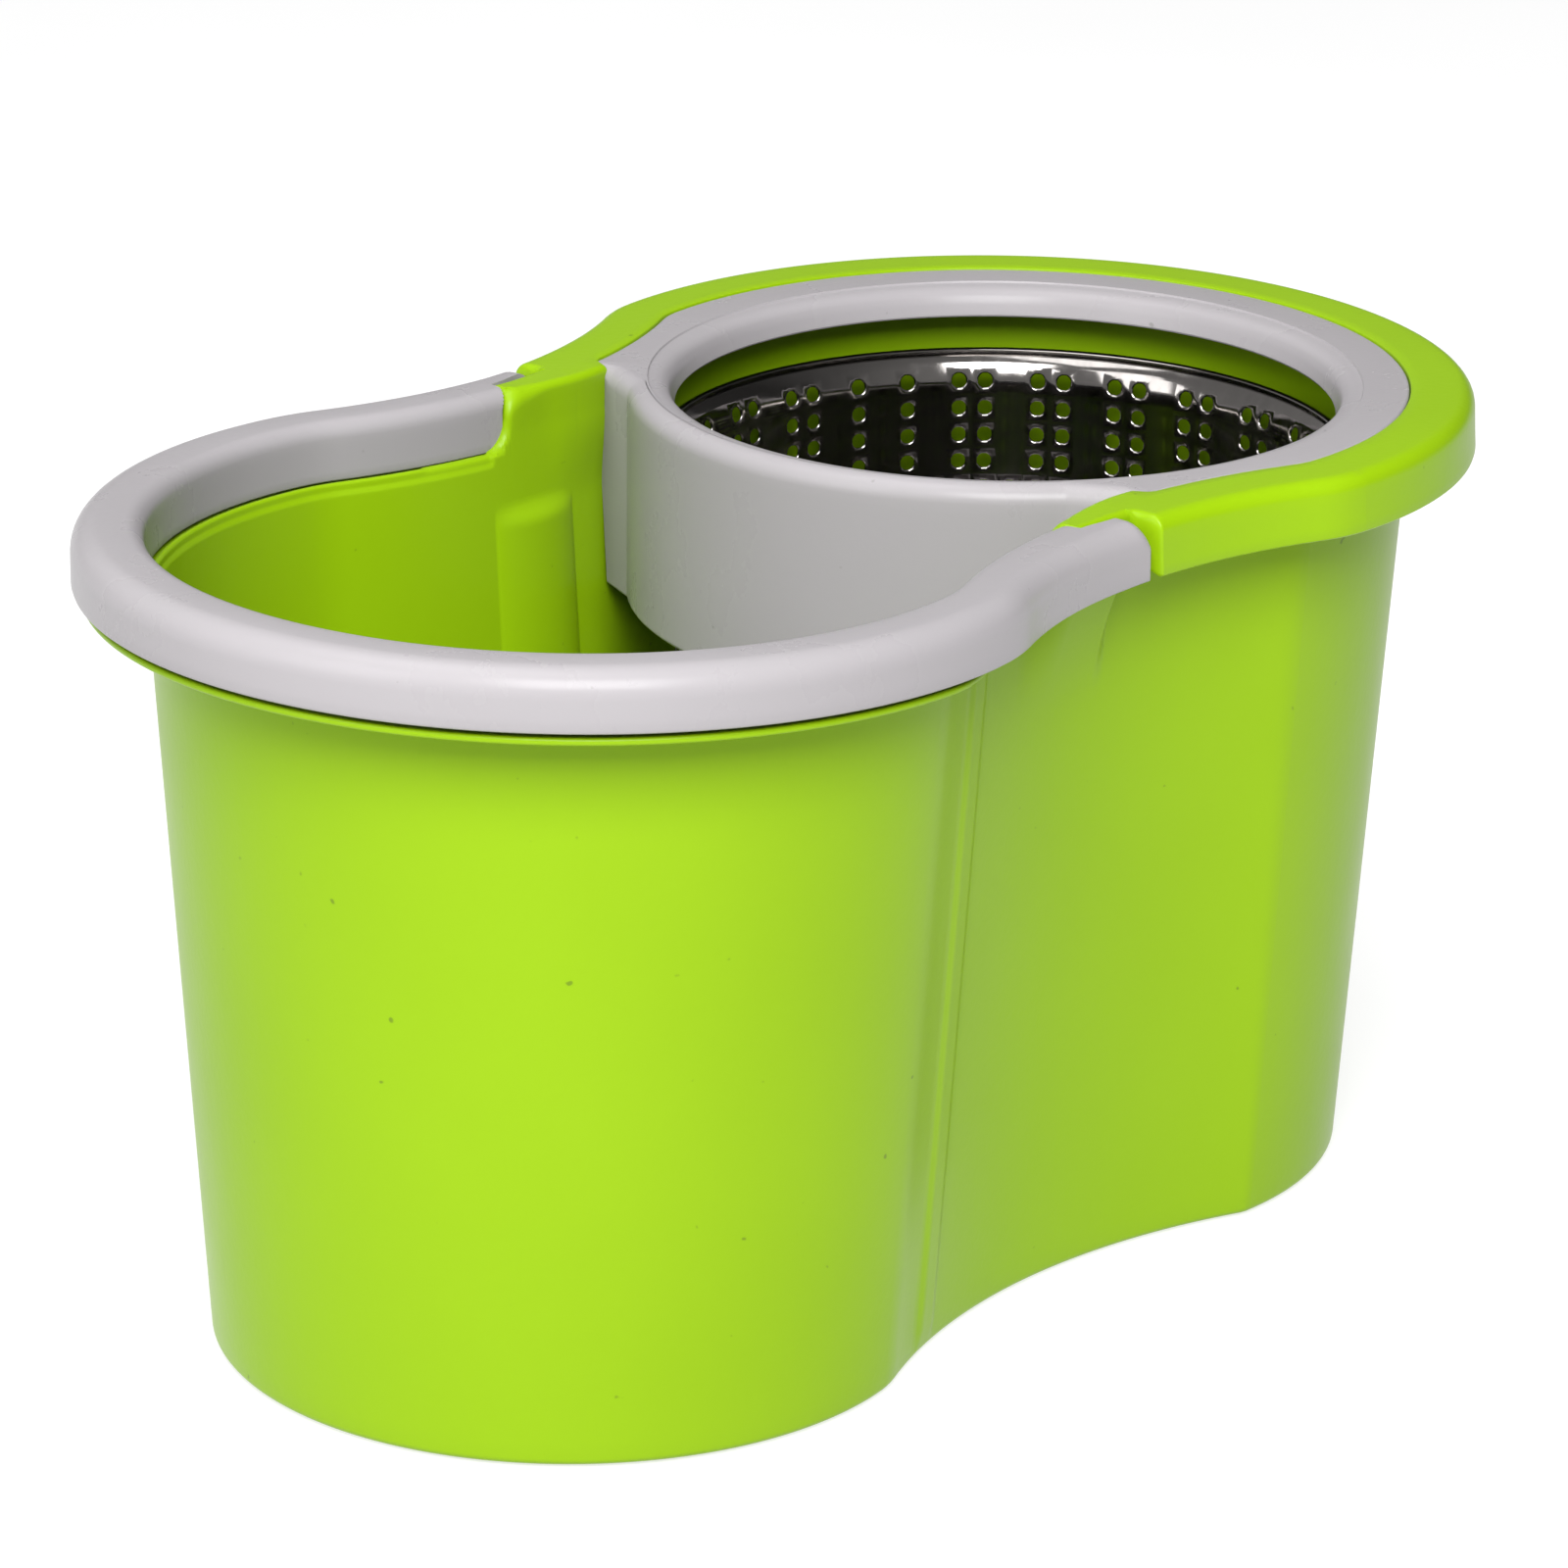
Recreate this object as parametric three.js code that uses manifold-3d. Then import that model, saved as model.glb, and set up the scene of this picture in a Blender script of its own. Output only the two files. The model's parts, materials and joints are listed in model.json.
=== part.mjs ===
// Two-lobed spin mop bucket: a wash basin beside a spinning steel basket, with a carry handle that
// folds down over the basin's rim. Millimetres, +Z up, origin on the floor under the middle of the
// bounding box. +X runs from the wash basin to the spin basket.
import * as THREE from "three";
import { mergeVertices } from "three/addons/utils/BufferGeometryUtils.js";
import Module from "manifold-3d";

const wasm = await Module();
wasm.setup();

// ---------- driving dimensions ----------
const spinX = 95.4;                  // centre of the spin lobe
const washX = -98.4;                 // centre of the wash lobe
const spinRadius = 103.4;            // outside of the spin lobe at the floor
const washRadius = 101.3;
const waistRadius = 200;             // the two hollow arcs that join the lobes
const waistCentre = new THREE.Vector2(-1.05, 283.6);
const spinCornerRadius = 10;         // where a waist arc meets the spin lobe
const washCornerRadius = 40;
const draftSlope = 0.0661;           // how far the wall leans out for each mm of height
const rimTop = 234;
const wallThickness = 2.5;
const gap = 0.3;                     // between pieces that touch
const topOffset = draftSlope * rimTop;
const rimSlope = 0.0179;             // the rim climbs towards the wash basin's far end

const baseRise = 0.3;                // the rubber feet hold the moulding this far off the floor
const floorUnder = 4;
const floorTop = 7;
const skirtBottom = 216.8;           // lower edge of the rim's and the handle's outer skirt
const flangeTop = 215.6;             // flange that the folded handle lies over
const notchX = -23.5;                // rounded notch in the wall's skin for the handle's inner leg
const notchZ = 226;
const notchRadius = 9.3;

const pivotX = -3.5;                 // the handle's hinge line, along Y
const pivotZ = 226;
const pinRadius = 2.6;
const pinInner = 99;                 // the pin lies between these distances from the middle
const pinOuter = 113.4;
const blockInner = 97.7;             // hinge block, from its inner to its outer face
const blockOuter = 106.3;
const blockRadius = 10.5;            // round end of the hinge block, about the hinge line
const rimEndX = 12.7;                // where the high rim of the spin lobe starts
const handleOuter = 19;              // handle faces, measured out from the wall at the rim
const handleInner = -1;
const handleWall = 2.2;
const armInner = blockOuter + 2;     // inner face of the handle's arm, beside the hinge block
const armEndX = 8.6;                 // the arm's end, at its lower edge
const armTopX = -0.8;                // centre of the arm's rounded upper corner
const armCorner = 8;
const gussetInner = 95;              // rib that carries the hinge block down to the wall
const gussetBottom = 186;

const plateTop = rimTop - 0.4;       // splash guard
const plateThickness = 2.4;
const guardFrontRadius = 110.5;
const guardFrontAngle = THREE.MathUtils.degToRad(46);
const guardCornerX = 29;
const guardBottom = 167.5;
const guardWall = 2.2;
const guardOffset = -1.2;

const basketRimRadius = 102.2;       // steel basket
const basketRimTop = 213.5;
const basketFloorTop = 119;
const pressedStep = 0.6;             // the basket floor's outer ring stands this much higher
const sheet = 0.8;
const shaftRadius = 4;
const shaftBottom = 46;
const postTop = 84;
const bossTop = 19;                  // four bosses that carry the spindle post
const postScrewCircle = 25;
const hubScrewCircle = 22;
const screwRadius = 1.8;
const bushRadius = 7;
const bushBore = shaftRadius + gap;
const bushFlange = 1.5;
const washerTop = postTop + 2;       // the lower bush runs on the thrust washer
const bushLow = washerTop + gap;
const carrierLow = bushLow + bushFlange + gap;
const clipLow = basketFloorTop + 1.4;
const clipHigh = clipLow + 1.2;
const grooveRadius = 3.1;            // shaft groove that the retaining clip sits in
const roundSegments = 56;
const hubSegments = 32;
const smallSegments = 20;
const footPlaces = [[spinX + 45, 62], [spinX + 45, -62], [washX - 45, 62], [washX - 45, -62]];

// ---------- materials ----------
const material = (color, roughness, metalness) =>
  new THREE.MeshStandardMaterial({ color, roughness, metalness });
const greenPlastic = material(0x9fd020, 0.38, 0);
const greyPlastic = material(0xbfbabe, 0.4, 0);
const whitePlastic = material(0xd8d8d6, 0.45, 0);
const steel = material(0xc4c6c8, 0.22, 1);
const bronze = material(0xb08a50, 0.35, 1);
const rubber = material(0x2a2b2c, 0.85, 0);

// ---------- closed solids and cuts ----------
function triangleVolume(position, [a, b, c]) {
  const corner = (vertex) => new THREE.Vector3().fromBufferAttribute(position, vertex);
  return corner(a).dot(corner(b).cross(corner(c))) / 6;
}

// Merges shared vertices, drops the collapsed triangles at a lathe's poles, and turns the faces out.
function toSolid(geometry) {
  const bare = geometry.index ? geometry.toNonIndexed() : geometry.clone();
  bare.deleteAttribute("normal");
  bare.deleteAttribute("uv");
  const merged = mergeVertices(bare, 1e-4);
  const position = merged.attributes.position;
  const indices = Array.from(merged.index.array);
  const triangles = Array.from({ length: indices.length / 3 }, (unused, face) =>
    indices.slice(3 * face, 3 * face + 3)).filter(([a, b, c]) => a !== b && b !== c && c !== a);
  const volume = triangles.reduce((sum, triangle) => sum + triangleVolume(position, triangle), 0);
  const facingOut = volume > 0 ? triangles : triangles.map(([a, b, c]) => [a, c, b]);
  return new wasm.Manifold(new wasm.Mesh({
    numProp: 3,
    vertProperties: new Float32Array(position.array),
    triVerts: new Uint32Array(facingOut.flat()),
  }));
}

function toGeometry(solid) {
  const mesh = solid.getMesh();
  const geometry = new THREE.BufferGeometry();
  geometry.setAttribute("position", new THREE.BufferAttribute(new Float32Array(mesh.vertProperties), 3));
  geometry.setIndex(new THREE.BufferAttribute(new Uint32Array(mesh.triVerts), 1));
  return geometry;
}

const joined = (solids) => solids.reduce((whole, solid) => whole.add(solid));
const cut = (solid, tools) => tools.reduce((rest, tool) => rest.subtract(tool), solid);

function box(lowX, highX, lowY, highY, lowZ, highZ) {
  const geometry = new THREE.BoxGeometry(highX - lowX, highY - lowY, highZ - lowZ);
  geometry.translate((lowX + highX) / 2, (lowY + highY) / 2, (lowZ + highZ) / 2);
  return toSolid(geometry);
}

// A round piece on the axis (x, y). Points are [radius, z], anticlockwise with radius to the right.
function turned(points, segments, x, y) {
  const profile = points.map(([radius, z]) => new THREE.Vector2(radius, z));
  const geometry = new THREE.LatheGeometry(profile, segments);
  geometry.rotateX(Math.PI / 2);
  geometry.translate(x, y, 0);
  return toSolid(geometry);
}

const ring = (inner, outer, low, high, segments, x, y) =>
  turned([[inner, low], [outer, low], [outer, high], [inner, high], [inner, low]], segments, x, y);

const rod = (radius, low, high, segments, x, y) =>
  turned([[0, low], [radius, low], [radius, high], [0, high]], segments, x, y);

// A rod along Y, from one side distance to another, on the near (-1) or far (+1) side.
function crossRod(radius, low, high, segments, side) {
  const geometry = new THREE.CylinderGeometry(radius, radius, high - low, segments);
  geometry.translate(pivotX, side * (low + high) / 2, pivotZ);
  return toSolid(geometry);
}

// A shape drawn in X and Z, made thick along Y between two side distances.
function sidePlate(shape, low, high, side) {
  const geometry = new THREE.ExtrudeGeometry(
    shape, { depth: high - low, bevelEnabled: false, curveSegments: 8 });
  geometry.rotateX(Math.PI / 2);
  geometry.translate(0, side > 0 ? high : -low, 0);
  return toSolid(geometry);
}

// ---------- plan outline ----------
// One of the two points where circles about a and b meet: the one further to the given side in X.
function circlesMeet(a, radiusA, b, radiusB, xSide) {
  const between = b.clone().sub(a);
  const distance = between.length();
  const along = (distance ** 2 + radiusA ** 2 - radiusB ** 2) / (2 * distance);
  const across = Math.sqrt(radiusA ** 2 - along ** 2);
  const direction = between.divideScalar(distance);
  const square = new THREE.Vector2(-direction.y, direction.x).multiplyScalar(across);
  if (Math.sign(square.x) !== xSide) {
    square.negate();
  }
  return a.clone().addScaledVector(direction, along).add(square);
}

// The outline is a chain of arcs about fixed centres. Moving out by an offset makes each outward
// arc that much larger and each waist arc that much smaller, and keeps every arc's angles.
function outlineArcs() {
  const spin = new THREE.Vector2(spinX, 0);
  const wash = new THREE.Vector2(washX, 0);
  const spinCorner = circlesMeet(
    spin, spinRadius - spinCornerRadius, waistCentre, waistRadius + spinCornerRadius, 1);
  const washCorner = circlesMeet(
    wash, washRadius - washCornerRadius, waistCentre, waistRadius + washCornerRadius, -1);
  const angle = (from, to) => Math.atan2(to.y - from.y, to.x - from.x);
  const spinEnd = angle(spin, spinCorner);
  const washEnd = angle(wash, washCorner);
  const farSide = [
    { centre: spinCorner, radius: spinCornerRadius, grow: 1, steps: 3,
      from: spinEnd, to: angle(spinCorner, waistCentre) },
    { centre: waistCentre, radius: waistRadius, grow: -1, steps: 6,
      from: angle(waistCentre, spinCorner), to: angle(waistCentre, washCorner) },
    { centre: washCorner, radius: washCornerRadius, grow: 1, steps: 2,
      from: angle(washCorner, waistCentre), to: washEnd },
  ];
  const mirrored = ({ centre, from, to, ...rest }) =>
    ({ ...rest, centre: new THREE.Vector2(centre.x, -centre.y), from: -to, to: -from });
  return [
    { centre: spin, radius: spinRadius, grow: 1, steps: 32, from: -spinEnd, to: spinEnd },
    ...farSide,
    { centre: wash, radius: washRadius, grow: 1, steps: 28, from: washEnd, to: 2 * Math.PI - washEnd },
    ...farSide.map(mirrored).reverse(),
  ];
}

const arcs = outlineArcs();

function outlinePoints(offset, z) {
  return arcs.flatMap(({ centre, radius, grow, steps, from, to }) =>
    Array.from({ length: steps }, (unused, step) => {
      const turn = from + (to - from) * step / steps;
      const reach = radius + grow * offset;
      return new THREE.Vector3(centre.x + reach * Math.cos(turn), centre.y + reach * Math.sin(turn), z);
    }));
}

// Skins between successive rings. A closed loop joins the last ring to the first; otherwise the two
// ends are closed to a point in the middle.
function loft(rings, closedLoop) {
  const count = rings[0].length;
  const positions = rings.flat().flatMap((point) => point.toArray());
  const index = [];
  const spans = closedLoop ? rings.length : rings.length - 1;
  for (let span = 0; span < spans; span += 1) {
    const lower = span * count;
    const upper = ((span + 1) % rings.length) * count;
    for (let step = 0; step < count; step += 1) {
      const next = (step + 1) % count;
      index.push(lower + step, lower + next, upper + next, lower + step, upper + next, upper + step);
    }
  }
  if (!closedLoop) {
    const last = (rings.length - 1) * count;
    const middle = positions.length / 3;
    positions.push(0, 0, rings[0][0].z, 0, 0, rings[rings.length - 1][0].z);
    for (let step = 0; step < count; step += 1) {
      const next = (step + 1) % count;
      index.push(middle, next, step, middle + 1, last + step, last + next);
    }
  }
  const geometry = new THREE.BufferGeometry();
  geometry.setAttribute("position", new THREE.Float32BufferAttribute(positions, 3));
  geometry.setIndex(index);
  return toSolid(geometry);
}

// Profiles are lists of [offset, z], anticlockwise seen with the outside to the right.
const hull = (profile) => loft(profile.map(([offset, z]) => outlinePoints(offset, z)), false);
const loopRing = (profile) =>
  loft(profile.map(([offset, z]) => outlinePoints(offset + topOffset, z)), true);
const wallAt = (z) => draftSlope * z;
const wallFromRim = (z) => draftSlope * (z - rimTop);

// Lifts a solid along the slope of the wash basin's rim. share gives how much of the slope a height gets.
function sloped(solid, share) {
  return solid.warp((vertex) => {
    vertex[2] += rimSlope * Math.max(0, pivotX - vertex[0]) * share(vertex[2]);
  });
}

// ---------- bucket body ----------
function cupShell() {
  const rest = 213.2;                // where the plain wall ends and the rims start
  return hull([
    [-7, floorUnder], [-6, baseRise], [-1.2, baseRise], [-0.2, baseRise + 1.2], [wallAt(4), 4],
    [wallAt(rest), rest], [wallAt(rest) - wallThickness, rest],
    [wallAt(floorTop + 5) - wallThickness, floorTop + 5], [-wallThickness - 1.2, floorTop + 1.2],
    [-wallThickness - 5, floorTop],
  ]);
}

// High rim round the spin lobe: wall, ledge under the splash guard, flat top and outer skirt.
function spinRim() {
  const ledge = plateTop - plateThickness - gap;
  const rebate = guardOffset + gap;
  const profile = loopRing([
    [wallFromRim(212), 212], [0, 229.6], [1.4, 231.2], [13.8, 231.2], [15.3, 229.8],
    [16.4, skirtBottom], [18.5, skirtBottom], [17.8, 230.4], [16.6, 232.8], [14.2, rimTop],
    [rebate, rimTop], [rebate, ledge], [-5, ledge], [-5, 229.2],
    [-wallThickness, 226.6], [wallFromRim(212) - wallThickness, 212],
  ]);
  return profile.intersect(box(rimEndX, 300, -200, 200, 200, 250));
}

// Low flange round the wash basin, under the folded handle, with a rib that stands inside the handle.
function washFlange() {
  const ribEndX = pivotX - blockRadius - 14;
  const flangeEndX = ribEndX + 9;
  const profile = loopRing([
    [wallFromRim(210), 210], [wallFromRim(213), 213], [16.6, 213.4], [16.6, flangeTop],
    [-wallThickness, flangeTop], [wallFromRim(210) - wallThickness, 210],
  ]);
  const rib = loopRing([[6.6, flangeTop - 1], [9, flangeTop - 1], [9, 227], [6.6, 227]]);
  return joined([
    profile.intersect(box(-300, flangeEndX, -200, 200, 200, 250)),
    rib.intersect(box(-300, ribEndX, -200, 200, 200, 250)),
  ]);
}

// Inner skin of the wall: a low bead round the wash basin, swept up to the rim at each hinge by a
// rounded notch that the handle's inner leg lies in.
function hingeSkin() {
  const notch = new THREE.Shape();
  notch.moveTo(-300, notchZ - notchRadius);
  notch.lineTo(notchX, notchZ - notchRadius);
  notch.absarc(notchX, notchZ, notchRadius, -Math.PI / 2, 0, false);
  notch.lineTo(notchX + notchRadius, rimTop + 6);
  notch.lineTo(-300, rimTop + 6);
  const outerFace = handleInner - 1.2 * gap;
  const skin = loopRing([
    [outerFace, 210], [outerFace, rimTop], [-wallThickness, rimTop], [-wallThickness, 210],
  ]);
  const piece = skin.intersect(box(-300, rimEndX + 2, -200, 200, 211, 250));
  return cut(piece, [-1, 1].map((side) => sidePlate(notch, 0, 150, side)));
}

// Block beside the wall that carries the hinge pin. Its round end stays inside the handle's swing.
function hingeBlock(side) {
  const shoulder = Math.asin((rimTop - pivotZ) / blockRadius);
  const outline = new THREE.Shape();
  outline.moveTo(rimEndX + 1, pivotZ - blockRadius);
  outline.lineTo(rimEndX + 1, rimTop);
  outline.absarc(pivotX, pivotZ, blockRadius, Math.PI - shoulder, 1.5 * Math.PI, false);
  return sidePlate(outline, blockInner - 0.2, blockOuter, side);
}

// Tapered rib that carries the hinge block down to the wall.
function hingeGusset(side) {
  const top = pivotZ - blockRadius + 1;
  const length = rimEndX + 8 - pivotX;
  const outline = new THREE.Shape([
    new THREE.Vector2(side * gussetInner, top), new THREE.Vector2(side * blockOuter, top),
    new THREE.Vector2(side * blockOuter, top - 2), new THREE.Vector2(side * gussetInner, gussetBottom),
  ]);
  const geometry = new THREE.ExtrudeGeometry(outline, { depth: length, bevelEnabled: false });
  geometry.rotateX(Math.PI / 2);
  geometry.rotateZ(Math.PI / 2);
  geometry.translate(rimEndX + 1 - length, 0, 0);
  return toSolid(geometry);
}

function circlePlaces(count, radius, firstDegrees) {
  return Array.from({ length: count }, (unused, place) => {
    const turn = THREE.MathUtils.degToRad(firstDegrees + place * 360 / count);
    return [spinX + radius * Math.cos(turn), radius * Math.sin(turn)];
  });
}

const postScrewPlaces = circlePlaces(4, postScrewCircle, 45);
const hubScrewPlaces = circlePlaces(3, hubScrewCircle, 90);

function bucketBody() {
  const bosses = postScrewPlaces.map((place) => rod(4.5, floorTop - 1, bossTop, 12, ...place));
  const screwHoles = postScrewPlaces.map((place) =>
    rod(screwRadius + gap, floorTop + 2, bossTop + 1, 10, ...place));
  const sides = [-1, 1];
  const whole = joined([
    cupShell(), spinRim(), washFlange(), hingeSkin(), ...sides.map(hingeBlock),
    ...sides.map(hingeGusset), ...bosses,
  ]);
  const pinHoles = sides.map((side) =>
    crossRod(pinRadius + gap, pinInner - gap, blockOuter + 1, 16, side));
  return sloped(cut(whole, [...screwHoles, ...pinHoles]), (z) => z / rimTop);
}

// ---------- carry handle ----------
// Side view of the handle from startX to its rounded arm ends, down to the height low.
function armOutline(startX, low) {
  const outline = new THREE.Shape();
  outline.moveTo(startX, low);
  outline.lineTo(armEndX, low);
  outline.lineTo(armEndX, skirtBottom);
  outline.lineTo(armTopX + armCorner, rimTop - armCorner);
  outline.absarc(armTopX, rimTop - armCorner, armCorner, 0, Math.PI / 2, false);
  outline.lineTo(startX, rimTop);
  return outline;
}

// A box between two side distances, on the near (-1) or far (+1) side.
const sideBox = (side, lowX, highX, nearY, farY, lowZ, highZ) =>
  box(lowX, highX, side > 0 ? nearY : -farY, side > 0 ? farY : -nearY, lowZ, highZ);

function carryHandle() {
  const inner = handleInner;
  const outer = handleOuter;
  const innerBottom = flangeTop + 2 * gap;
  const underTop = rimTop - handleWall;
  const armStartX = -20;
  const armThickness = 1.7;
  const bossOuter = pinOuter + 1.4;
  const swingRadius = blockRadius + 0.4;
  const channel = loopRing([
    [outer, skirtBottom], [outer, 228], [outer - 1.4, 231.6], [outer - 4, 233.4], [outer - 7.4, rimTop],
    [inner + 5, rimTop], [inner + 1.4, 232.4], [inner, 229], [inner, innerBottom],
    [inner + handleWall, innerBottom], [inner + handleWall, 228.4], [inner + 4.6, underTop],
    [outer - 7, underTop], [outer - 3.6, 230], [outer - handleWall, 227], [outer - handleWall, skirtBottom],
  ]);
  const endWall = (side) => {
    const solid = sideBox(side, armEndX - 3.2, armEndX + 1, armInner - gap, 115, skirtBottom, rimTop);
    return solid.intersect(sidePlate(armOutline(armStartX, skirtBottom), 90, 130, side));
  };
  const armPieces = (side) => [
    sidePlate(armOutline(armStartX, skirtBottom), armInner - gap, armInner + armThickness, side),
    endWall(side),
    crossRod(pinRadius + 2.8, blockOuter + 2 * gap, bossOuter, 20, side),
  ];
  const blockRoom = (side) => [
    crossRod(swingRadius, 90, armInner - gap, 32, side),
    sideBox(side, pivotX - (rimTop + gap - pivotZ), 20, 90, armInner - gap, 200, 250),
  ];
  const sides = [-1, 1];
  const halves = sides.map((side) => channel.intersect(sidePlate(armOutline(-300, 200), 0, 160, side)));
  const cleared = cut(joined(halves), sides.flatMap(blockRoom));
  const whole = joined([cleared, ...sides.flatMap(armPieces)]);
  const pinHoles = sides.map((side) => crossRod(pinRadius + gap, 100, pinOuter + gap, 16, side));
  return sloped(cut(whole, pinHoles), () => 1);
}

// ---------- splash guard ----------
// Plan of the guard: the spin lobe's outline, closed by two flat wings and a wall round the basket.
function guardPlan(inset) {
  const plan = outlinePoints(guardOffset + topOffset - inset, 0);
  const wingX = guardCornerX + inset;
  const lobe = plan.filter((point) => point.x > wingX);
  const start = lobe.findIndex((point, at) => {
    const before = lobe[(at + lobe.length - 1) % lobe.length];
    return point.y < 0 && before.y > 0;
  });
  const ordered = [...lobe.slice(start), ...lobe.slice(0, start)];
  const reach = waistRadius - (guardOffset + topOffset - inset);
  const cornerY = waistCentre.y - Math.sqrt(reach ** 2 - (wingX - waistCentre.x) ** 2);
  const front = Array.from({ length: 25 }, (unused, step) => {
    const turn = Math.PI - guardFrontAngle + 2 * guardFrontAngle * step / 24;
    const radius = guardFrontRadius - inset;
    return new THREE.Vector2(spinX + radius * Math.cos(turn), radius * Math.sin(turn));
  });
  return [
    new THREE.Vector2(wingX, -cornerY), ...ordered.map(({ x, y }) => new THREE.Vector2(x, y)),
    new THREE.Vector2(wingX, cornerY), ...front,
  ];
}

function extruded(shape, low, high) {
  const geometry = new THREE.ExtrudeGeometry(shape, { depth: high - low, bevelEnabled: false });
  geometry.translate(0, 0, low);
  return toSolid(geometry);
}

function splashGuard() {
  const plateBottom = plateTop - plateThickness;
  const outside = new THREE.Shape(guardPlan(0));
  const plate = extruded(outside, plateBottom, plateTop);
  const opening = rod(101, plateBottom - 1, plateTop + 1, roundSegments, spinX, 0);
  const lip = turned([
    [96.4, 224.4], [98, 224.4], [100.2, 230], [104, 231.4], [104, 233.5], [101.5, 233.4],
    [98.8, 231.6], [96.4, 224.4],
  ], roundSegments, spinX, 0);
  const inside = extruded(new THREE.Shape(guardPlan(guardWall)), guardBottom - 1, plateTop + 1);
  const skirt = extruded(outside, guardBottom, plateBottom + 1).subtract(inside);
  const insideFace = (z) => wallAt(z) - wallThickness - gap;
  const besideLedge = topOffset - 5 - gap;
  const bodyRoom = hull([
    [insideFace(160), 160], [insideFace(196), 196], [besideLedge, 222], [besideLedge, plateBottom + 1],
  ]);
  const front = box(-60, guardCornerX + guardWall + 0.1, -150, 150, 100, 300);
  const wall = skirt.intersect(front).intersect(bodyRoom);
  return joined([plate.subtract(opening), lip, wall]);
}

// ---------- spin basket ----------
function basketWall() {
  const rimZ = basketRimTop;
  const out = basketRimRadius;
  const low = basketFloorTop - 4;
  return turned([
    [95.2, low], [97.6, 204], [98.2, 207.4], [out - 1.6, rimZ - 3.4], [out - sheet, rimZ - 4],
    [out, rimZ - 2.4], [out - 0.8, rimZ - 0.6], [out - 2.6, rimZ], [97.4, 209.6], [96.8, 204],
    [94.4, low], [95.2, low],
  ], roundSegments, spinX, 0);
}

// The middle carries the hub; the ring round it is pressed a little higher.
function basketFloor() {
  const low = basketFloorTop - sheet;
  const edge = 94;
  const stepStart = 46;
  const stepEnd = stepStart + 2;
  const ringTop = basketFloorTop + pressedStep;
  const disc = turned([
    [13, low], [stepStart, low], [stepEnd, ringTop - sheet], [edge - 3, ringTop - sheet],
    [edge - sheet, low - 2.6], [edge, low - 2.4], [edge - 2.4, ringTop], [stepEnd, ringTop],
    [stepStart, basketFloorTop], [13, basketFloorTop], [13, low],
  ], roundSegments, spinX, 0);
  const screwHoles = hubScrewPlaces.map((place) =>
    rod(screwRadius + gap, low - 1, basketFloorTop + 1, 10, ...place));
  return cut(disc, screwHoles);
}

// Upper hub: a plate on the basket's floor with a hollow six-sided tower that drives the mop head.
function basketHub() {
  const low = basketFloorTop + gap;
  const plateHigh = low + 3.5;
  const towerTop = low + 26;
  const plate = turned([
    [10, low], [44, low], [44, low + 1.5], [41, plateHigh], [10, plateHigh], [10, low],
  ], hubSegments, spinX, 0);
  const tower = new THREE.CylinderGeometry(13.5, 16.5, towerTop - low, 6);
  tower.rotateX(Math.PI / 2);
  tower.translate(spinX, 0, (low + towerTop) / 2);
  const inside = rod(10, low - 1, towerTop - 3, smallSegments, spinX, 0);
  const bosses = hubScrewPlaces.map((place) => rod(4.2, low + 1, low + 10, 12, ...place));
  const holes = hubScrewPlaces.map((place) => rod(screwRadius + gap, low - 1, low + 8, 10, ...place));
  return cut(joined([plate, toSolid(tower), ...bosses]), [inside, ...holes]);
}

// Lower hub: a flange under the basket's floor with the tube that holds both bushes.
function hubCarrier() {
  const top = basketFloorTop - sheet - gap;
  const bore = bushRadius + gap;
  const body = turned([
    [bore, carrierLow], [12.5, carrierLow], [13.5, top - 4], [28, top - 4], [28, top], [bore, top],
    [bore, carrierLow],
  ], hubSegments, spinX, 0);
  const screwHoles = hubScrewPlaces.map((place) =>
    rod(screwRadius + gap, top - 9, top + 1, 10, ...place));
  return cut(body, screwHoles);
}

function lowerBush() {
  const flangeHigh = bushLow + bushFlange;
  const top = bushLow + 12.7;
  return turned([
    [bushBore, bushLow], [10, bushLow], [10, flangeHigh], [bushRadius, flangeHigh], [bushRadius, top],
    [bushBore, top], [bushBore, bushLow],
  ], smallSegments, spinX, 0);
}

function upperBush() {
  const seat = basketFloorTop - sheet;
  const top = seat + bushFlange;
  return turned([
    [bushBore, seat - 12], [bushRadius, seat - 12], [bushRadius, seat], [9.5, seat], [9.5, top],
    [bushBore, top], [bushBore, seat - 12],
  ], smallSegments, spinX, 0);
}

function thrustWasher() {
  return ring(bushBore, 9, postTop + gap, washerTop, smallSegments, spinX, 0);
}

function spindleShaft() {
  const top = clipHigh + 5;
  return turned([
    [0, shaftBottom], [shaftRadius - 0.6, shaftBottom], [shaftRadius, shaftBottom + 0.6],
    [shaftRadius, clipLow - gap], [grooveRadius, clipLow - gap], [grooveRadius, clipHigh + gap],
    [shaftRadius, clipHigh + gap], [shaftRadius, top - 0.8], [shaftRadius - 0.8, top], [0, top],
  ], smallSegments, spinX, 0);
}

function retainingClip() {
  const whole = ring(grooveRadius + gap, 7.4, clipLow, clipHigh, smallSegments, spinX, 0);
  return whole.subtract(box(spinX, spinX + 12, -2, 2, clipLow - 1, clipHigh + 1));
}

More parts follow.
